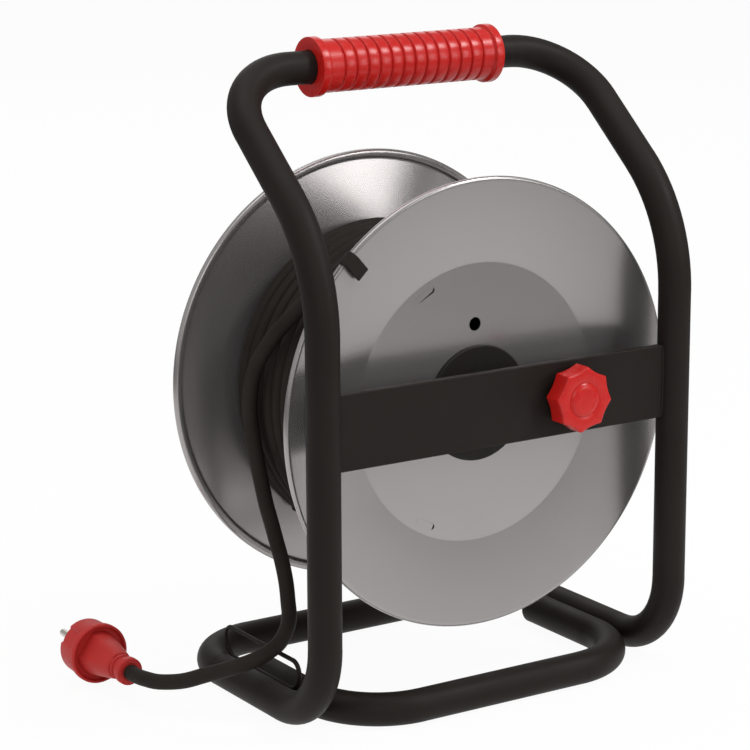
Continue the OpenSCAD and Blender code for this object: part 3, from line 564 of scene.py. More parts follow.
@dataclass
class Studio:
    """Camera, floor and soft lamps."""

    eye: tuple[float, float, float] = (-0.953728, -1.423597, 0.603443)
    right: tuple[float, float, float] = (0.83990555, -0.54271537, -0.00432409)
    up: tuple[float, float, float] = (0.12879841, 0.19157593, 0.97299005)
    away: tuple[float, float, float] = (0.52722826, 0.81777667, -0.23080656)
    sensor: float = 36.0
    lens: float = 129.718
    clip_end: float = 100.0
    floor_size: float = 40.0
    paper: str = "#f2f2f2"
    white: str = "#ffffff"
    # Share of the floor's look that is its own white; the rest is paper, which takes the shadow
    glow_share: float = 0.95
    # Painted reflection: for mirrored rays the floor glows white round the object, fading between these
    # distances to this grey
    pool: tuple[float, float] = (0.8, 1.08)
    far_grey: float = 0.15
    # Brightness of the room on its left and its right side
    room_strength: tuple[float, float] = (0.62, 0.25)
    # Share of the white world that metal mirrors
    mirrored_share: float = 0.06

    def camera(self) -> None:
        """Places the camera."""
        data = bpy.data.cameras.new("camera")
        data.sensor_width = self.sensor
        data.lens = self.lens
        data.clip_end = self.clip_end
        obj = linked("camera", data)
        axes = Matrix((self.right, self.up, tuple(-c for c in self.away))).transposed()
        obj.matrix_world = Matrix.Translation(self.eye) @ axes.to_4x4()
        bpy.context.scene.camera = obj

    def floor(self) -> None:
        """Lays a pale floor that shows white, with a faint shadow."""
        half = self.floor_size / 2
        mesh = bpy.data.meshes.new("floor")
        corners = [(-half, -half, 0), (half, -half, 0), (half, half, 0), (-half, half, 0)]
        mesh.from_pydata(corners, [], [(0, 1, 2, 3)])
        obj = linked("floor", mesh)
        made = bpy.data.materials.new("floor_paper")
        tree = emptied(made)
        rays = add_node(tree, "ShaderNodeLightPath").outputs
        camera, glossy = rays["Is Camera Ray"], rays["Is Glossy Ray"]
        seen = add_node(tree, "ShaderNodeMath", {0: camera, 1: glossy}, operation="MAXIMUM")
        share = add_node(tree, "ShaderNodeMath", {0: seen, 1: self.glow_share}, operation="MULTIPLY")
        paper = add_node(tree, "ShaderNodeBsdfDiffuse", {"Color": linear(self.paper)})
        # Painted reflection: mirrored in metal, the floor glows white round the object and fades to grey
        # further out
        place = add_node(tree, "ShaderNodeTexCoord").outputs["Object"]
        reach = add_node(tree, "ShaderNodeVectorMath", {0: place}, operation="LENGTH").outputs["Value"]
        near, far = self.pool
        fade = {"Value": reach, "From Min": near, "From Max": far, "To Min": 1.0, "To Max": self.far_grey}
        fallen = add_node(tree, "ShaderNodeMapRange", fade, interpolation_type="SMOOTHSTEP")
        strength = add_node(tree, "ShaderNodeMath", {0: camera, 1: fallen}, operation="MAXIMUM")
        glow = add_node(tree, "ShaderNodeEmission", {"Color": linear(self.white), "Strength": strength})
        mixed = add_node(tree, "ShaderNodeMixShader", {0: share, 1: paper, 2: glow})
        add_node(tree, "ShaderNodeOutputMaterial", {"Surface": mixed})
        mesh.materials.append(made)

    def lamp(self, name: str, place: Point, aim: Point, size: tuple[float, float], power: float) -> None:
        """Hangs a soft rectangular lamp.

        Args:
            name: The lamp's name.
            place: Where it hangs.
            aim: The point that it faces.
            size: Its width and height.
            power: Its power in watts.
        """
        data = bpy.data.lights.new(name, "AREA")
        data.shape = "RECTANGLE"
        data.size, data.size_y = size
        data.energy = power
        obj = linked(name, data)
        obj.location = place
        obj.rotation_euler = (Vector(aim) - Vector(place)).to_track_quat("-Z", "Y").to_euler()

    def lamps(self) -> None:
        """Hangs the lamps."""
        middle = (0.0, 0.0, 0.2)
        self.lamp("overhead", (-0.2, 0.2, 2.6), middle, (2.0, 2.0), 22.0)
        self.lamp("key", (1.3, -1.25, 2.15), middle, (0.6, 0.6), 27.0)
        self.lamp("strip", (1.0, -1.53, 0.72), (0.0, 0.05, 0.3), (0.36, 0.7), 5.4)
        self.lamp("front", (-1.3, -2.4, 1.3), middle, (1.2, 1.2), 9.0)
        self.lamp("behind", (1.2, 2.6, 1.6), middle, (1.6, 1.6), 9.0)

    def world(self) -> None:
        """Surrounds the scene with soft light, and with white where it shows or mirrors."""
        world = bpy.data.worlds.new("studio")
        bpy.context.scene.world = world
        tree = emptied(world)
        rays = add_node(tree, "ShaderNodeLightPath").outputs
        mirror = {0: rays["Is Glossy Ray"], 1: self.mirrored_share}
        seen = add_node(tree, "ShaderNodeMath", mirror, operation="MULTIPLY")
        for kind in ("Is Camera Ray", "Is Transmission Ray"):
            seen = add_node(tree, "ShaderNodeMath", {0: seen, 1: rays[kind]}, operation="MAXIMUM")
        # The room is paler on the left
        way = add_node(tree, "ShaderNodeTexCoord").outputs["Generated"]
        across = add_node(tree, "ShaderNodeSeparateXYZ", {0: way}).outputs["X"]
        pale, dark = self.room_strength
        sides = {"Value": across, "From Min": -1.0, "From Max": 1.0, "To Min": pale, "To Max": dark}
        strength = add_node(tree, "ShaderNodeMapRange", sides)
        shades = [
            add_node(tree, "ShaderNodeBackground", {"Color": linear(self.white), "Strength": value})
            for value in (strength, 1.0)
        ]
        mixed = add_node(tree, "ShaderNodeMixShader", {0: seen, 1: shades[0], 2: shades[1]})
        add_node(tree, "ShaderNodeOutputWorld", {"Surface": mixed})

    def build(self) -> None:
        """Builds the whole studio."""
        self.camera()
        self.floor()
        self.lamps()
        self.world()
        bpy.context.scene.view_settings.view_transform = "Standard"


# ---- cord


@dataclass
class FreeCord:
    """The cord off the drum, from under the outer turns to the plug."""

    radius: float = CORD_RADIUS
    sides: int = 20
    blunt: float = 0.0008
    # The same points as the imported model's own route, in millimetres
    route: tuple[tuple[float, float, float], ...] = (
        (55, -57, 113), (72, -57, 124), (87, -57, 139.5), (99, -57, 157.5), (108, -57, 178),
        (112.5, -57, 201), (110.5, -57, 225), (102.5, -57, 247.5), (89, -57, 267), (71.5, -56.5, 283.5),
        (51, -55.5, 296.5), (27.5, -53.5, 305), (3, -50.5, 308.5), (-21.5, -46, 306.5), (-45, -40, 299.5),
        (-66, -31.5, 287.5), (-84, -20.5, 272), (-98.5, -8.5, 253.5), (-108.5, 6, 234),
        (-114.5, 18, 212.5), (-115.5, 24, 190), (-113.5, 24.5, 168), (-110.5, 22.5, 145),
        (-107, 20, 122.5), (-103.5, 19.4, 109), (-100.1, 18.7, 95.5), (-97.9, 15.8, 82.1),
        (-98.7, 9.7, 69.9), (-102.5, 1.2, 60.2), (-107.9, -9, 54), (-115.6, -17.9, 48.7),
        (-125.8, -23.6, 42.3), (-142, -25.6, 36.9), (-157.8, -20.6, 32.4), (-169.6, -10, 27.3),
        (-180.7, 0.5, 22.2), (-191, 12.5, 20), (-196, 22.5, 20), (-198, 32, 20), (-198, 39.5, 20),
    )  # fmt: skip

    def build(self, on_it: list[Object]) -> None:
        """Args:
            on_it: The pieces that are on the cord; not used.
        """
        path = through([Vector(p) * MM for p in self.route], 6)
        shell = tube(path, self.radius, self.sides, self.blunt)
        obj = piece("cord", shell, CORD_RUBBER, Body.FRAME, "free_cord")


@dataclass
class Plug:
    """The moulded plug, which lies on its collar."""

    x: float = -0.198
    z: float = 0.02
    # Angle of the pins' line from the level
    pin_tilt: float = 144.0
    handle_y: float = 0.0535
    handle_end_y: float = 0.0854
    nose_r: float = 0.0188
    # Each groove's floor, its half width there, and the width of its slope
    guide_r: float = 0.0166
    guide_half: float = 0.005
    guide_edge: float = 0.0014
    # The handle's radius and the distance of its flats, at its thin end and at its root
    handle_r: tuple[float, float] = (0.0088, 0.0148)
    flat_half: tuple[float, float] = (0.0082, 0.0116)
    flat_edge: float = 0.0006
    handle_steps: int = 14
    # Power of the length that the handle widens with
    handle_swell: float = 0.85
    pin_half_gap: float = 0.0095
    pin: Turned = Turned(0.1205, 0.0006, ((0, -19.5), (2.4, -19.5), (2.4, -1.1), (1.8, -0.3), (0, 0)), 3)
    nose: Turned = Turned(0.086, 0.0013, ((0, -0.6), (18.8, -0.6), (18.8, 0), (18.3, 17), (0, 17)))
    collar: Turned = Turned(0.081, 0.0009, (
        (0, 3.8), (14.5, 3.8), (17.6, 3), (18.2, 0), (19.4, 0), (20, 1), (20, 4.4), (19.2, 5), (18.8, 5),
        (0, 5),
    ))  # fmt: skip
    boot: Turned = Turned(0.0395, 0.0007, (
        (0, 0.4), (5.6, 0.4), (5.8, 0), (9, 0), (9.1, 5), (6.6, 5.2), (6.6, 6.4), (7.9, 6.6), (7.9, 8.4),
        (6.6, 8.6), (6.6, 10.2), (8.3, 10.4), (8.3, 12.2), (7, 12.4), (7, 15.5), (0, 15.5),
    ), 3)  # fmt: skip

    def place(self, angle: float = 0.0) -> Matrix:
        """Returns the plug's place, turned by an angle in degrees round its own axis."""
        return Matrix.Translation((self.x, 0, self.z)) @ Matrix.Rotation(-math.radians(angle), 4, "Y")

    def front(self) -> Shell:
        """Makes the collar with its hollow back, and the front with its two guide grooves.

        Returns:
            Both, in the plug's own place.
        """
        tilt = math.radians(self.pin_tilt)
        rings = []
        for radius, y in self.nose.points():
            radius = max(radius, AXIS_R)
            ring = []
            for v in round_ring(radius, 0.0, count=240):
                # The grooves lie at the ends of the pins' line
                aside = abs(math.sin(math.atan2(v.z, v.x) - tilt)) * radius
                out = min(max((aside - self.guide_half) / self.guide_edge, 0.0), 1.0)
                limit = self.guide_r + (self.nose_r - self.guide_r) * out
                ring.append(v * min(1.0, limit / radius) + Vector((0, y, 0)))
            rings.append(ring)
        return Shell.joined((self.collar.shell(), Shell.loft(rings)))

    def handle(self) -> Shell:
        """Makes the tapered handle with two flat sides.

        Returns:
            The handle, its flats square to Z.
        """
        start, stop = self.handle_y, self.handle_end_y
        (thin, root), (thin_flat, root_flat), edge = self.handle_r, self.flat_half, self.flat_edge
        rings = [round_ring(thin - 2 * edge, start - edge)]
        for i in range(self.handle_steps + 1):
            t = i / self.handle_steps
            radius = thin + (root - thin) * t**self.handle_swell
            half = min(radius, thin_flat + (root_flat - thin_flat) * t)
            ring = []
            for v in round_ring(radius, start + (stop - start) * t):
                # A flat with a soft edge: the side is drawn in to the flat's distance
                over = abs(v.z) - half
                soft = half - edge / 2 + edge / 2 * math.tanh(over / edge)
                ring.append(Vector((v.x, v.y, v.z if over <= -edge else math.copysign(soft, v.z))))
            rings.append(ring)
        return Shell.loft(rings)

    def pins(self) -> Shell:
        """Makes the two round pins with their domed tips.

        Returns:
            Both pins, in the row frame.
        """
        pin, place = self.pin.shell(count=40), self.place(self.pin_tilt)
        sides = [Matrix.Translation((x, 0, 0)) for x in (-self.pin_half_gap, self.pin_half_gap)]
        return Shell.joined(pin.moved(place @ side) for side in sides)

    def build(self) -> list[Object]:
        """Builds the plug.

        Returns:
            The pieces that are on the cord.
        """
        handle = self.handle().moved(self.place(self.pin_tilt + 90))
        body = Shell.joined((self.front().moved(self.place()), handle))
        boot = self.boot.shell().moved(self.place())
        made = [
            piece(name, shell, finish, Body.FRAME, node)
            for name, shell, finish, slot, node in (
                ("plug_moulding", body, RED_PVC, Slot.RED_RUBBER, "plug_body"),
                ("plug_boot", boot, RED_PVC, Slot.RED_RUBBER, "plug_relief"),
                ("plug_pin_pair", self.pins(), NICKEL_BRASS, Slot.NICKEL_BRASS, "plug_pins"),
            )
        ]
        dress("plug_earths", NICKEL_BRASS, 0.0002)
        return [*made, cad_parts["plug_earths"]]


@dataclass
class Winding:
    """The cord on the drum: a bedded inner layer, and outer turns that hang a little slack."""

    first_y: float = 0.0589
    last_y: float = -0.0566
    step: float = 0.01053
    count: int = 10
    # Angle at which the outer turns start, in degrees
    start: float = -120.0
    mean: float = 0.1
    slack: float = 0.0049
    # By how much the slack differs from turn to turn, as a share of it, and the turns' phases in degrees
    unevenness: float = 0.06
    phase: float = 137.0
    # How far past the start the turns hang lowest, in degrees
    sag: float = 45.0
    # The slack changes over this share of a turn, taken as its inverse
    ease: float = 10.0
    sides: int = 14
    blunt: float = 0.0006
    inner_mean: float = 0.0868
    inner_half: float = 0.0025
    # Rings of the swept tubes in each turn
    outer_steps: int = 72
    inner_steps: int = 64

    def radius(self, t: float, number: int) -> float:
        """Returns the radius after t turns, hanging as slack as the turn of this number does."""
        uneven = 1 - self.unevenness + self.unevenness * math.sin(math.radians(self.phase * number))
        return self.mean - self.slack * math.cos(TURN * t + math.radians(self.start - self.sag)) * uneven

    def outer(self) -> Shell:
        """Makes the outer turns.

        Returns:
            One tube, a cord's width longer at each end.
        """
        path = []
        for i in range(self.count * self.outer_steps + 1):
            t = i / self.outer_steps
            angle = TURN * t + math.radians(self.start)
            # The slack changes a little from turn to turn, eased over the first tenth of each
            share = min((t % 1) * self.ease, 1.0)
            number = math.floor(t)
            r = self.radius(t, number) * share + self.radius(t, max(number - 1, 0)) * (1 - share)
            y, z = self.first_y - self.step * t, AXLE_Z + r * math.sin(angle)
            path.append(Vector((r * math.cos(angle), y, z)))
        first = path[0] + (path[0] - path[1]).normalized() * 2 * CORD_RADIUS
        last = path[-1] + (path[-1] - path[-2]).normalized() * 2 * CORD_RADIUS
        return tube([first, *path, last], CORD_RADIUS, self.sides, self.blunt)

    def inner(self) -> Shell:
        """Makes the inner layer, pressed flat under the outer turns.

        Returns:
            One flattened tube.
        """
        rings = []
        for i in range(int((self.first_y - self.last_y) / self.step * self.inner_steps) + 1):
            t = i / self.inner_steps
            out = polar(1.0, 0.0, TURN * t)
            centre = Vector((0, self.last_y + self.step * t, AXLE_Z)) + out * self.inner_mean
            flat = out * self.inner_half
            rings.append(around(centre, flat, Vector((0, CORD_RADIUS, 0)), count=10))
        return Shell.loft(rings)

    def build(self) -> None:
        """Builds both layers."""
        for name, shell, node in (
            ("cord_turns", self.outer(), "wound_cord"),
            ("cord_inner_turns", self.inner(), "cord_bed"),
        ):
            piece(name, shell, CORD_RUBBER, Body.DRUM, node, angle=60)


# ---- stand


@dataclass
class Stand:
    """The bent tubes, the crossbar, the wire guide and the grip."""

    half_w: float = 0.1335
    tube_r: float = 0.01065
    bar_z: float = 0.1955
    bar_h: float = 0.048
    handle_y: float = 0.024
    handle_z: float = 0.4
    grip_l: float = 0.138
    grip_r: float = 0.017
    collar_r: float = 0.019
    collar_l: float = 0.0057
    grooves: int = 13
    groove_step: float = 0.00878
    groove_shift: float = 0.0007
    groove_w: float = 0.0021
    groove_depth: float = 0.0014
    slope: float = 0.0011
    bore_gap: float = 0.00005
    # Length of a weld's ripples and their swell, as a share of its radius
    ripple: float = 0.0016
    swell: float = 0.1
    # Share of the radius that a weld starts with, and how much it gains over its length
    taper: tuple[float, float] = (0.35, 8.0)
    bar_bead_r: float = 0.0011
    bar_bead_in: float = 0.001
    # How far the bar's beads stand off the tube's side and the bar's face
    bead_off: tuple[float, float] = (0.0003, 0.0002)
    floor_bead_r: float = 0.0024
    floor_bead_z: float = 0.0141
    # Stations along Y of the floor loop's welds, and half their length
    floor_bead_y: tuple[float, ...] = (-0.036, 0.004)
    floor_bead_half: float = 0.009

    def bead(self, start: Point, stop: Point, radius: float) -> Shell:
        """Makes a rippled weld bead.

        Args:
            start: One end of its middle line.
            stop: The other end.
            radius: Its radius away from its tapered ends.

        Returns:
            The bead.
        """
        a, b = Vector(start), Vector(stop)
        way = (b - a).normalized()
        normal = way.orthogonal().normalized()
        side = way.cross(normal)
        ripples = (b - a).length / self.ripple
        steps = max(int(ripples * 6), 6)
        least, growth = self.taper
        rings = []
        for i in range(steps + 1):
            t = i / steps
            swell = 1 + self.swell * math.sin(TURN * t * ripples)
            r = radius * swell * min(1.0, least + growth * min(t, 1 - t))
            rings.append(around(a.lerp(b, t), r * normal, r * side, count=12))
        return Shell.loft(rings)

    def welds(self) -> Shell:
        """Makes the welds of the crossbar and of the inner floor loop.

        Returns:
            All the beads.
        """
        beads = []
        reach = self.bar_h / 2 - self.bar_bead_in
        low, high = self.bar_z - reach, self.bar_z + reach
        z, half = self.floor_bead_z, self.floor_bead_half
        aside, off = self.bead_off
        for side in (-1, 1):
            seam = side * (self.half_w - self.tube_r)
            x = seam + side * aside
            for y in (BAR_FRONT_Y + off, BAR_BACK_Y - off):
                beads.append(self.bead((x, y, low), (x, y, high), self.bar_bead_r))
            for y in self.floor_bead_y:
                beads.append(self.bead((seam, y - half, z), (seam, y + half, z), self.floor_bead_r))
        return Shell.joined(beads)

    def grip(self) -> Shell:
        """Makes the grip with its collars and soft grooves.

        Returns:
            The grip, along Y.
        """
        half, body, collar, lip = self.grip_l / 2, self.grip_r, self.collar_r, self.collar_l
        bore, slope = self.tube_r + self.bore_gap, self.slope
        top, floor, deep = self.groove_w / 2, self.groove_w / 6, self.groove_depth
        profile = [(bore, -half), (collar, -half), (collar, lip - half), (body, lip - half + slope)]
        for i in range(self.grooves):
            y = self.groove_shift + self.groove_step * (i - (self.grooves - 1) / 2)
            profile += [(body, y - top), (body - deep, y - floor)]
            profile += [(body - deep, y + floor), (body, y + top)]
        profile += [(body, half - lip - slope), (collar, half - lip), (collar, half), (bore, half)]
        return lathe(rounded(profile, 0.0005, 3, closed=True), count=128, closed=True)

    def build(self) -> None:
        """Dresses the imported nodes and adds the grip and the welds."""
        for node in ("frame_tube", "base_tube", "cord_guide"):
            dress(node, POWDER_COAT)
        dress("crossbar", POWDER_COAT, 0.0003)
        dress("tube_plugs", BLACK_NYLON, 0.0004)
        piece("stand_welds", self.welds(), POWDER_COAT, Body.FRAME)
        place = Matrix.Translation((0, self.handle_y, self.handle_z))
        grip = self.grip().moved(place @ Matrix.Rotation(-math.pi / 2, 4, "Z"))
        body, slot = Body.FRAME, Slot.RED_PLASTIC
        piece("grip_sleeve", grip, RED_POLYPROPYLENE, body, "handle_grip", angle=50)
        for node in ("axle", "axle_washer", "axle_nut"):
            dress(node, ZINC_STEEL, 0.0003)


# ---- brake


@dataclass
class Brake:
    """The star knob with its spindle, and the pad behind the crossbar."""

    x: float = 0.048
    z: float = 0.1965
    front_y: float = -0.113
    back_y: float = -0.1
    tip_r: float = 0.0215
    valley_r: float = 0.0188
    points: int = 8
    # Corners of the star's outline from one tip to the next
    per_point: int = 16
    tilt: float = -6.3
    # How far each tip is rounded off, and over what share of a point's half angle
    tip_soft: float = 0.0003
    tip_share: float = 0.12
    spindle_r: float = 0.004
    spindle_in: float = 0.009
    thread_end_y: float = -0.0735
    spindle_end_y: float = -0.0728
    thread_depth: float = 0.0006
    spindle_chamfer: float = 0.0005
    pitch: float = 0.00125
    # Where the thread's groove starts, is deepest and ends, as shares of the pitch
    groove: tuple[float, float, float] = (0.08, 0.5, 0.92)
    # In millimetres: insets of the outline with their stations behind the back and the front, and the
    # radii round the cap with theirs
    back_rim: Corners = ((2.5, 0), (0.6, 0), (0, -0.6))
    front_rim: Corners = ((0, 1.1), (0.25, 0.5), (0.8, 0.1), (1.4, 0))
    well: Corners = ((13.9, 0), (12.1, 0.2), (11, 0.6), (9.5, 1.2))
    cap: Turned = Turned(-0.113, 0.0012, (
        (0, 1.9), (10.2, 1.9), (11.2, 0.55), (10.4, -0.1), (9.4, -0.8), (7.8, -1.28), (4.77, -1.46),
        (0, -1.5),
    ), 5)  # fmt: skip

    def star_ring(self, inset: float, y: float) -> Ring:
        """Makes the star outline: arcs that scoop the edge between its tips.

        Args:
            inset: How far it is drawn in.
            y: Its station along Y.

        Returns:
            The outline.
        """
        half = math.pi / self.points
        tip_x, tip_y = self.tip_r * math.cos(half), self.tip_r * math.sin(half)
        drop = tip_x - self.valley_r
        scoop = (tip_y**2 + drop**2) / (2 * drop)
        centre = self.valley_r + scoop
        ring = []
        for i in range(self.points * self.per_point):
            point, step = divmod(i, self.per_point)
            local = step / self.per_point * 2 * half - half
            # Distance along the ray to the scallop's circle
            aside = centre * math.sin(local)
            along = centre * math.cos(local) - math.sqrt(max(scoop**2 - aside**2, 0))
            soft = self.tip_soft * math.exp(-(((half - abs(local)) / (half * self.tip_share)) ** 2))
            r = along - soft - inset
            a = point * 2 * half + local + half + math.radians(self.tilt)
            ring.append(polar(r, y, a))
        return ring

    def knob(self) -> Shell:
        """Makes the star knob, dished round its cap.

        Returns:
            The knob, round the Y axis.
        """
        rims = at_station(self.back_rim, self.back_y) + at_station(self.front_rim, self.front_y)
        rings = [self.star_ring(inset, y) for inset, y in rims]
        for r, y in at_station(self.well, self.front_y):
            # A circle with its corners at the same angles as the star's
            turns = [math.atan2(v.z, v.x) for v in rings[0]]
            rings.append([polar(r, y, a) for a in turns])
        return Shell.loft(rings)

    def spindle(self) -> Shell:
        """Makes the spindle, its thread drawn as rings a pitch apart.

        Returns:
            The spindle, round the Y axis.
        """
        r, y = self.spindle_r, self.back_y
        profile = [(0, y - self.spindle_in), (r, y - self.spindle_in), (r, y)]
        while y + self.pitch < self.thread_end_y:
            for share, depth in zip(self.groove, (0.0, self.thread_depth, 0.0)):
                profile.append((r - depth, y + share * self.pitch))
            y += self.pitch
        profile += [(r - self.spindle_chamfer, self.spindle_end_y), (0, self.spindle_end_y)]
        return lathe(profile, count=48)

    def build(self) -> None:
        """Builds the knob, cap and spindle, and dresses the pad."""
        place = Matrix.Translation((self.x, 0, self.z))
        for name, shell, finish, slot, node in (
            ("knob_star", self.knob(), RED_POLYPROPYLENE, Slot.RED_PLASTIC, "brake_knob"),
            ("knob_dome", self.cap.shell(), RED_POLYPROPYLENE, Slot.RED_PLASTIC, "knob_cap"),
            ("knob_spindle", self.spindle(), ZINC_STEEL, Slot.ZINC_STEEL, "brake_spindle"),
        ):
            piece(name, shell.moved(place), finish, Body.BRAKE_KNOB, node, angle=38)
        dress("brake_nut", POWDER_COAT, 0.0005)
        dress("pad_holder", BLACK_NYLON, 0.0003)
        dress("brake_pad", BLACK_RUBBER, 0.0002)


# ---- drum


@dataclass
class Drum:
    """The pressed flanges, the barrel, the hubs and the rim's clip."""

    barrel_r: float = 0.0842
    wall: float = 0.0014
    near_y: float = -0.062
    far_y: float = 0.0644
    tab_angles: tuple[float, ...] = (0.0, 118.0, 242.0)
    tab_r: float = 0.0835
    tab_half: float = 0.0075
    tab_w: float = 0.004
    tab_t: float = 0.0004
    # Painted shade: how far each tab's outline is drawn in, most at its right end, so that the dark plate
    # under it shows, and the way to the side where it shows
    tab_shade_width: float = 0.0024
    # Share of that width at the left end
    least_shade_width: float = 0.12
    # Corners of each rounded end, less one
    tab_steps: int = 16
    shade_way: tuple[float, float, float] = (0.644, 0.0, -0.282)
    tab_lift: float = 0.00012
    shade_plate_lift: float = 0.00004
    disc_r: float = 0.09
    rim_r: float = 0.145
    # Radius of the rolled rim's middle, and its width along Y
    roll_r: float = 0.1423
    roll_depth: float = 0.0054
    # Half width of the bend between disc and dished face
    crease: float = 0.001
    dish: float = 0.0073
    sheet: float = 0.001
    near_bore: float = 0.033
    far_bore: float = 0.072
    vent_r: float = 0.0044
    vent_reach: float = 0.051
    vent_angle: float = 91.8
    drill_half: float = 0.004
    # A side of the profile longer than this gets a loop this far from each end
    long_run: float = 0.006
    brace: float = 0.0006

    def face_y(self, way: float) -> float:
        """Returns the station of the near disc's face for -1, and of the far one's for 1."""
        return NEAR_DISC_Y if way < 0 else FAR_DISC_Y

    def pressing(self, bore: float, way: float) -> Shell:
        """Makes a pressed flange: a flat disc, a dished face and a rim rolled inwards.

        Args:
            bore: Radius of the opening in its middle.
            way: -1 for the near flange, 1 for the far one.

        Returns:
            The flange.
        """
        disc, rim, lip = self.disc_r, self.rim_r, 2 * self.roll_r - self.rim_r
        slope = self.dish / (self.roll_r - disc)
        top = slope * (rim - disc)
        back = top - self.roll_depth
        outline = [
            (bore, 0), (disc - self.crease, 0), (disc, 0), (disc + self.crease, slope * self.crease),
            (rim, top), (rim, back), (lip, back), (lip, slope * (lip - disc) - self.sheet),
            (disc, -self.sheet), (bore, -self.sheet),
        ]  # fmt: skip
        profile = []
        points = rounded(outline, self.roll_r - lip, 8, closed=True)
        for i, (r, rise) in enumerate(points):
            profile.append((r, rise))
            run = Vector(points[(i + 1) % len(points)]) - Vector((r, rise))
            if run.length > self.long_run:
                # The loops keep the long faces' shading true
                for share in (self.brace / run.length, 1 - self.brace / run.length):
                    profile.append((r + run.x * share, rise + run.y * share))
        placed = [(r, self.face_y(way) + way * rise) for r, rise in profile]
        return lathe(placed, count=192, closed=True).moved(at_axle())

    def vented(self, obj: Object) -> None:
        """Drills the vent hole through the near flange.

        Args:
            obj: The flange.
        """
        ends = (NEAR_DISC_Y - self.drill_half, NEAR_DISC_Y + self.drill_half)
        drill = Shell.loft([round_ring(self.vent_r, y, count=48) for y in ends])
        place = at_axle(self.vent_angle, self.vent_reach)
        cutter = linked("vent_drill", solid_mesh("vent_drill", drill.moved(place)))
        cut = obj.modifiers.new("vent", "BOOLEAN")
        cut.operation, cut.solver, cut.object = "DIFFERENCE", "EXACT", cutter
        graph = bpy.context.evaluated_depsgraph_get()
        shaped = bpy.data.meshes.new_from_object(obj.evaluated_get(graph))
        obj.modifiers.clear()
        obj.data = shaped
        smooth_edges(shaped, HARD_EDGE)
        bpy.data.objects.remove(cutter)

    def tab(self, angle: float, way: float, shade_width: float, lift: float) -> Shell:
        """Makes one clenched tab, or the near-black plate of painted slot shade under it.

        Args:
            angle: Its angle round the axle in degrees.
            way: -1 on the near flange, 1 on the far one.
            shade_width: How far the outline is drawn in at the tab's right end, to uncover the painted
                slot shade; 0 gives the plate's own outline.
            lift: Height of the shell above the flange face.

        Returns:
            The plate, drawn in where the painted slot shade is to show beside its right end.
        """
        rightwards = -math.copysign(1.0, math.sin(math.radians(angle)) or 1.0)
        place = at_axle(angle, self.tab_r)
        run, half_w = self.tab_half - self.tab_w / 2, self.tab_w / 2
        spin, shade_side = place.to_3x3(), Vector(self.shade_way)
        ring = []
        for end in (1, -1):
            for k in range(self.tab_steps + 1):
                a = math.pi * k / self.tab_steps
                out = Vector((end * math.cos(a), 0.0, end * math.sin(a)))
                spot = Vector((0.0, 0.0, end * run)) + half_w * out
                share = 0.5 + 0.5 * rightwards * spot.z / self.tab_half
                # Painted shade: the outline is drawn in on the side that faces the shade way, uncovering
                # the dark plate
                deep = shade_width * (self.least_shade_width + (1 - self.least_shade_width) * share)
                ring.append(spot - deep * max((spin @ out).dot(shade_side), 0.0) * out)
        rises = [Vector((0.0, self.face_y(way) + way * y, 0.0)) for y in (-self.tab_t, lift)]
        return Shell.loft([[place @ (v + rise) for v in ring] for rise in rises])

    def barrel(self) -> Shell:
        """Makes the rolled barrel with the tabs that clench both flanges.

        Returns:
            Both, in the row frame.
        """
        r, inner = self.barrel_r, self.barrel_r - self.wall
        profile = [(inner, self.near_y), (r, self.near_y), (r, self.far_y), (inner, self.far_y)]
        barrel = lathe(profile, count=128, closed=True).moved(at_axle())
        return Shell.joined((barrel, self.tabs(self.tab_shade_width, self.tab_lift)))

    def tabs(self, shade_width: float, lift: float) -> Shell:
        """Returns the tabs of both flanges, or the plates of painted slot shade under them."""
        spots = [(angle, way) for angle in self.tab_angles for way in (-1, 1)]
        return Shell.joined(self.tab(angle, way, shade_width, lift) for angle, way in spots)

    def build(self) -> None:
        """Builds the flanges and the barrel, and dresses the other nodes."""
        body, slot = Body.DRUM, Slot.DRUM_STEEL
        near, far = self.pressing(self.near_bore, -1), self.pressing(self.far_bore, 1)
        self.vented(piece("near_pressing", near, ZINC_SHEET, body, "near_flange"))
        piece("far_pressing", far, ZINC_SHEET, body, "far_flange")
        piece("barrel_and_tabs", self.barrel(), ZINC_SHEET, body, "barrel", angle=30)
        # Painted shade: near-black plates under the tabs, standing for the dark slots and their shadow
        piece("painted_tab_slot_shade", self.tabs(0.0, self.shade_plate_lift), SLOT_SHADE_PAINT, body, angle=30)
        for node, finish, edge in (
            ("near_hub", BLACK_NYLON, 0.0005),
            ("far_hub", BLACK_NYLON, 0.0005),
            ("hub_ring", ZINC_STEEL, 0.0),
            ("rim_clip", BLACK_RUBBER, 0.0005),
            ("cord_gland", BLACK_RUBBER, 0.0),
            ("inner_lead", CORD_RUBBER, 0.0),
            ("terminal_block", WHITE_UREA, 0.0004),
        ):
            dress(node, finish, edge)


# ---- sockets and winding knob


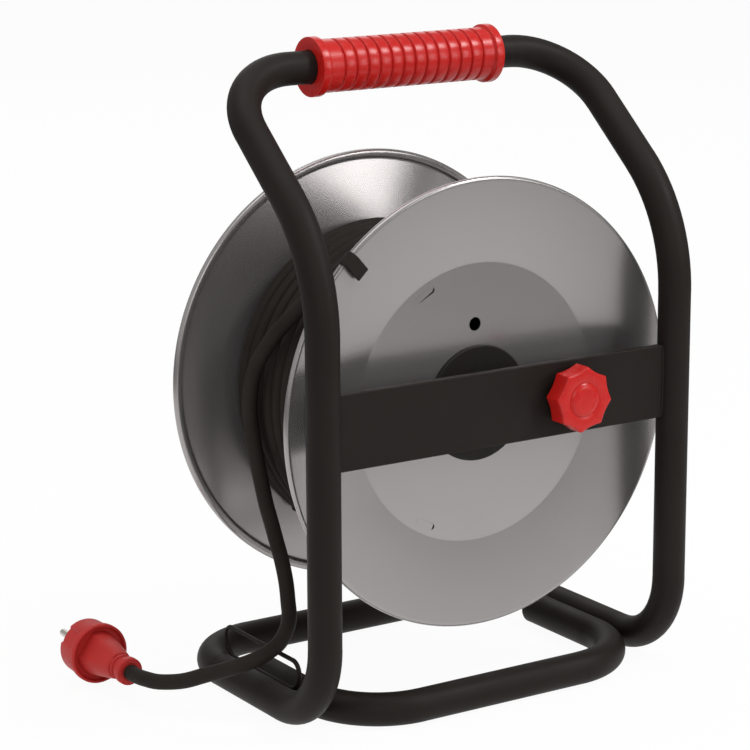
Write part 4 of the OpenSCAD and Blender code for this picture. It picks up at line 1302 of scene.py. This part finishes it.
@dataclass
class SocketPanel:
    """The socket side: panel, recesses, lids, cut-out and screws."""

    angles: tuple[float, ...] = (45.0, 135.0, 225.0, 315.0)
    reach: float = 0.046
    hinge_x: float = 0.0285
    hinge_y: float = 0.0748
    screw_count: int = 6
    screw_reach: float = 0.076
    screw_start: float = 30.0
    # Angle in radians between the recesses of one screw and the next
    screw_turn: float = 0.7
    screw_sides: int = 48
    shank_r: float = 0.0014
    shank_in: float = 0.005
    # The head's profile in millimetres from the panel's face; the rises of its recess's edge and floor
    head: Corners = ((1.4, 0.1), (3, 0.1), (3, 0.6), (2.7, 1.2), (2.1, 1.6))
    recess: tuple[float, ...] = (0.0016, 0.0007)
    # The recess's radius between its arms, how much further they reach, and the power that narrows them
    cross: tuple[float, float, int] = (0.00055, 0.0011, 6)
    wire_r: float = 0.0003
    coil_r: float = 0.0019
    coil_turns: float = 2.2
    coil_steps: int = 39
    coil_from: float = 0.0054
    coil_l: float = 0.0011

    def coils(self) -> Shell:
        """Makes the lids' torsion springs.

        Returns:
            All of them.
        """
        coils, count = [], self.coil_steps
        for angle in self.angles:
            place = at_axle(angle, self.reach)
            for side in (-1, 1):
                path = []
                for i in range(count + 1):
                    a = TURN * self.coil_turns * i / count
                    x = self.hinge_x + self.coil_r * math.cos(a)
                    y = self.hinge_y + self.coil_r * math.sin(a)
                    path.append(place @ Vector((x, y, side * (self.coil_from + self.coil_l * i / count))))
                coils.append(tube(path, self.wire_r, sides=6))
        return Shell.joined(coils)

    def screw(self) -> Shell:
        """Makes a pan-head screw with a cross recess.

        Returns:
            The screw, round the Y axis.
        """
        count = self.screw_sides
        least, reach, power = self.cross
        rings = [round_ring(self.shank_r, FAR_DISC_Y - self.shank_in, count)]
        rings += [round_ring(r, y, count) for r, y in at_station(self.head, PANEL_FACE_Y)]
        for rise in self.recess:
            ring = []
            for k in range(count):
                a = TURN * k / count
                lobe = least + reach * abs(math.cos(2 * a)) ** power
                ring.append(polar(lobe, PANEL_FACE_Y + rise, a))
            rings.append(ring)
        return Shell.loft(rings)

    def build(self) -> None:
        """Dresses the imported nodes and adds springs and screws."""
        for finish, edge, nodes in (
            (RED_ABS, 0.0004, ("socket_panel", "centre_cap")),
            (BLACK_NYLON, 0.0003, ("socket_inserts",)),
            (BRASS, 0.0, ("pin_contacts", "earth_clips")),
            (ZINC_STEEL, 0.0, ("hinge_pins", "reset_spring")),
            (BLACK_NYLON, 0.0004, ("lid_1", "lid_2", "lid_3", "lid_4")),
            (BLACK_NYLON, 0.0003, ("cutout_body", "cutout_nut")),
            (RED_POLYPROPYLENE, 0.0003, ("reset_button",)),
        ):
            for node in nodes:
                dress(node, finish, edge)
        piece("lid_spring_coils", self.coils(), ZINC_STEEL, Body.DRUM, "lid_springs")
        made = []
        for i in range(self.screw_count):
            spot = at_axle(i * 360 / self.screw_count + self.screw_start, self.screw_reach)
            # Each driven home at an angle of its own
            made.append(self.screw().moved(spot @ Matrix.Rotation(self.screw_turn * i, 4, "Y")))
        screws = Shell.joined(made)
        piece("panel_screw_set", screws, ZINC_STEEL, Body.DRUM, "panel_screws")


@dataclass
class Winder:
    """The winding knob that spins on its pin."""

    angle: float = -30.0
    reach: float = 0.115
    # The waist, the crown, the well in the end and the bore
    knob: Turned = Turned(0.07232, 0.003, (
        (4.05, 0), (11.2, 0), (11.2, 2), (8.96, 5.5), (9.52, 12), (11.48, 20), (13.3, 28), (14, 33.5),
        (13.86, 38.68), (12.04, 41.58), (8.2, 42.18), (7, 41.38), (7, 37.18), (4.05, 37.18),
    ), 5, closed=True)  # fmt: skip

    def build(self) -> None:
        """Builds the knob and dresses the pin."""
        knob = self.knob.shell(count=80).moved(at_axle(self.angle, self.reach))
        body, slot = Body.WINDER, Slot.BLACK_PLASTIC
        piece("winding_knob", knob, BLACK_NYLON, body, "winder_knob", angle=50)
        dress("winder_pin", ZINC_STEEL, 0.0003)


def main() -> None:
    """Builds the scene: camera and cords first, then the sub-assemblies."""
    logging.basicConfig(level=logging.INFO, format="%(name)s: %(message)s")
    Studio().build()
    plug = Plug().build()
    FreeCord().build(plug)
    Winding().build()
    Stand().build()
    Brake().build()
    Drum().build()
    SocketPanel().build()
    Winder().build()


if __name__ == "__main__":
    main()
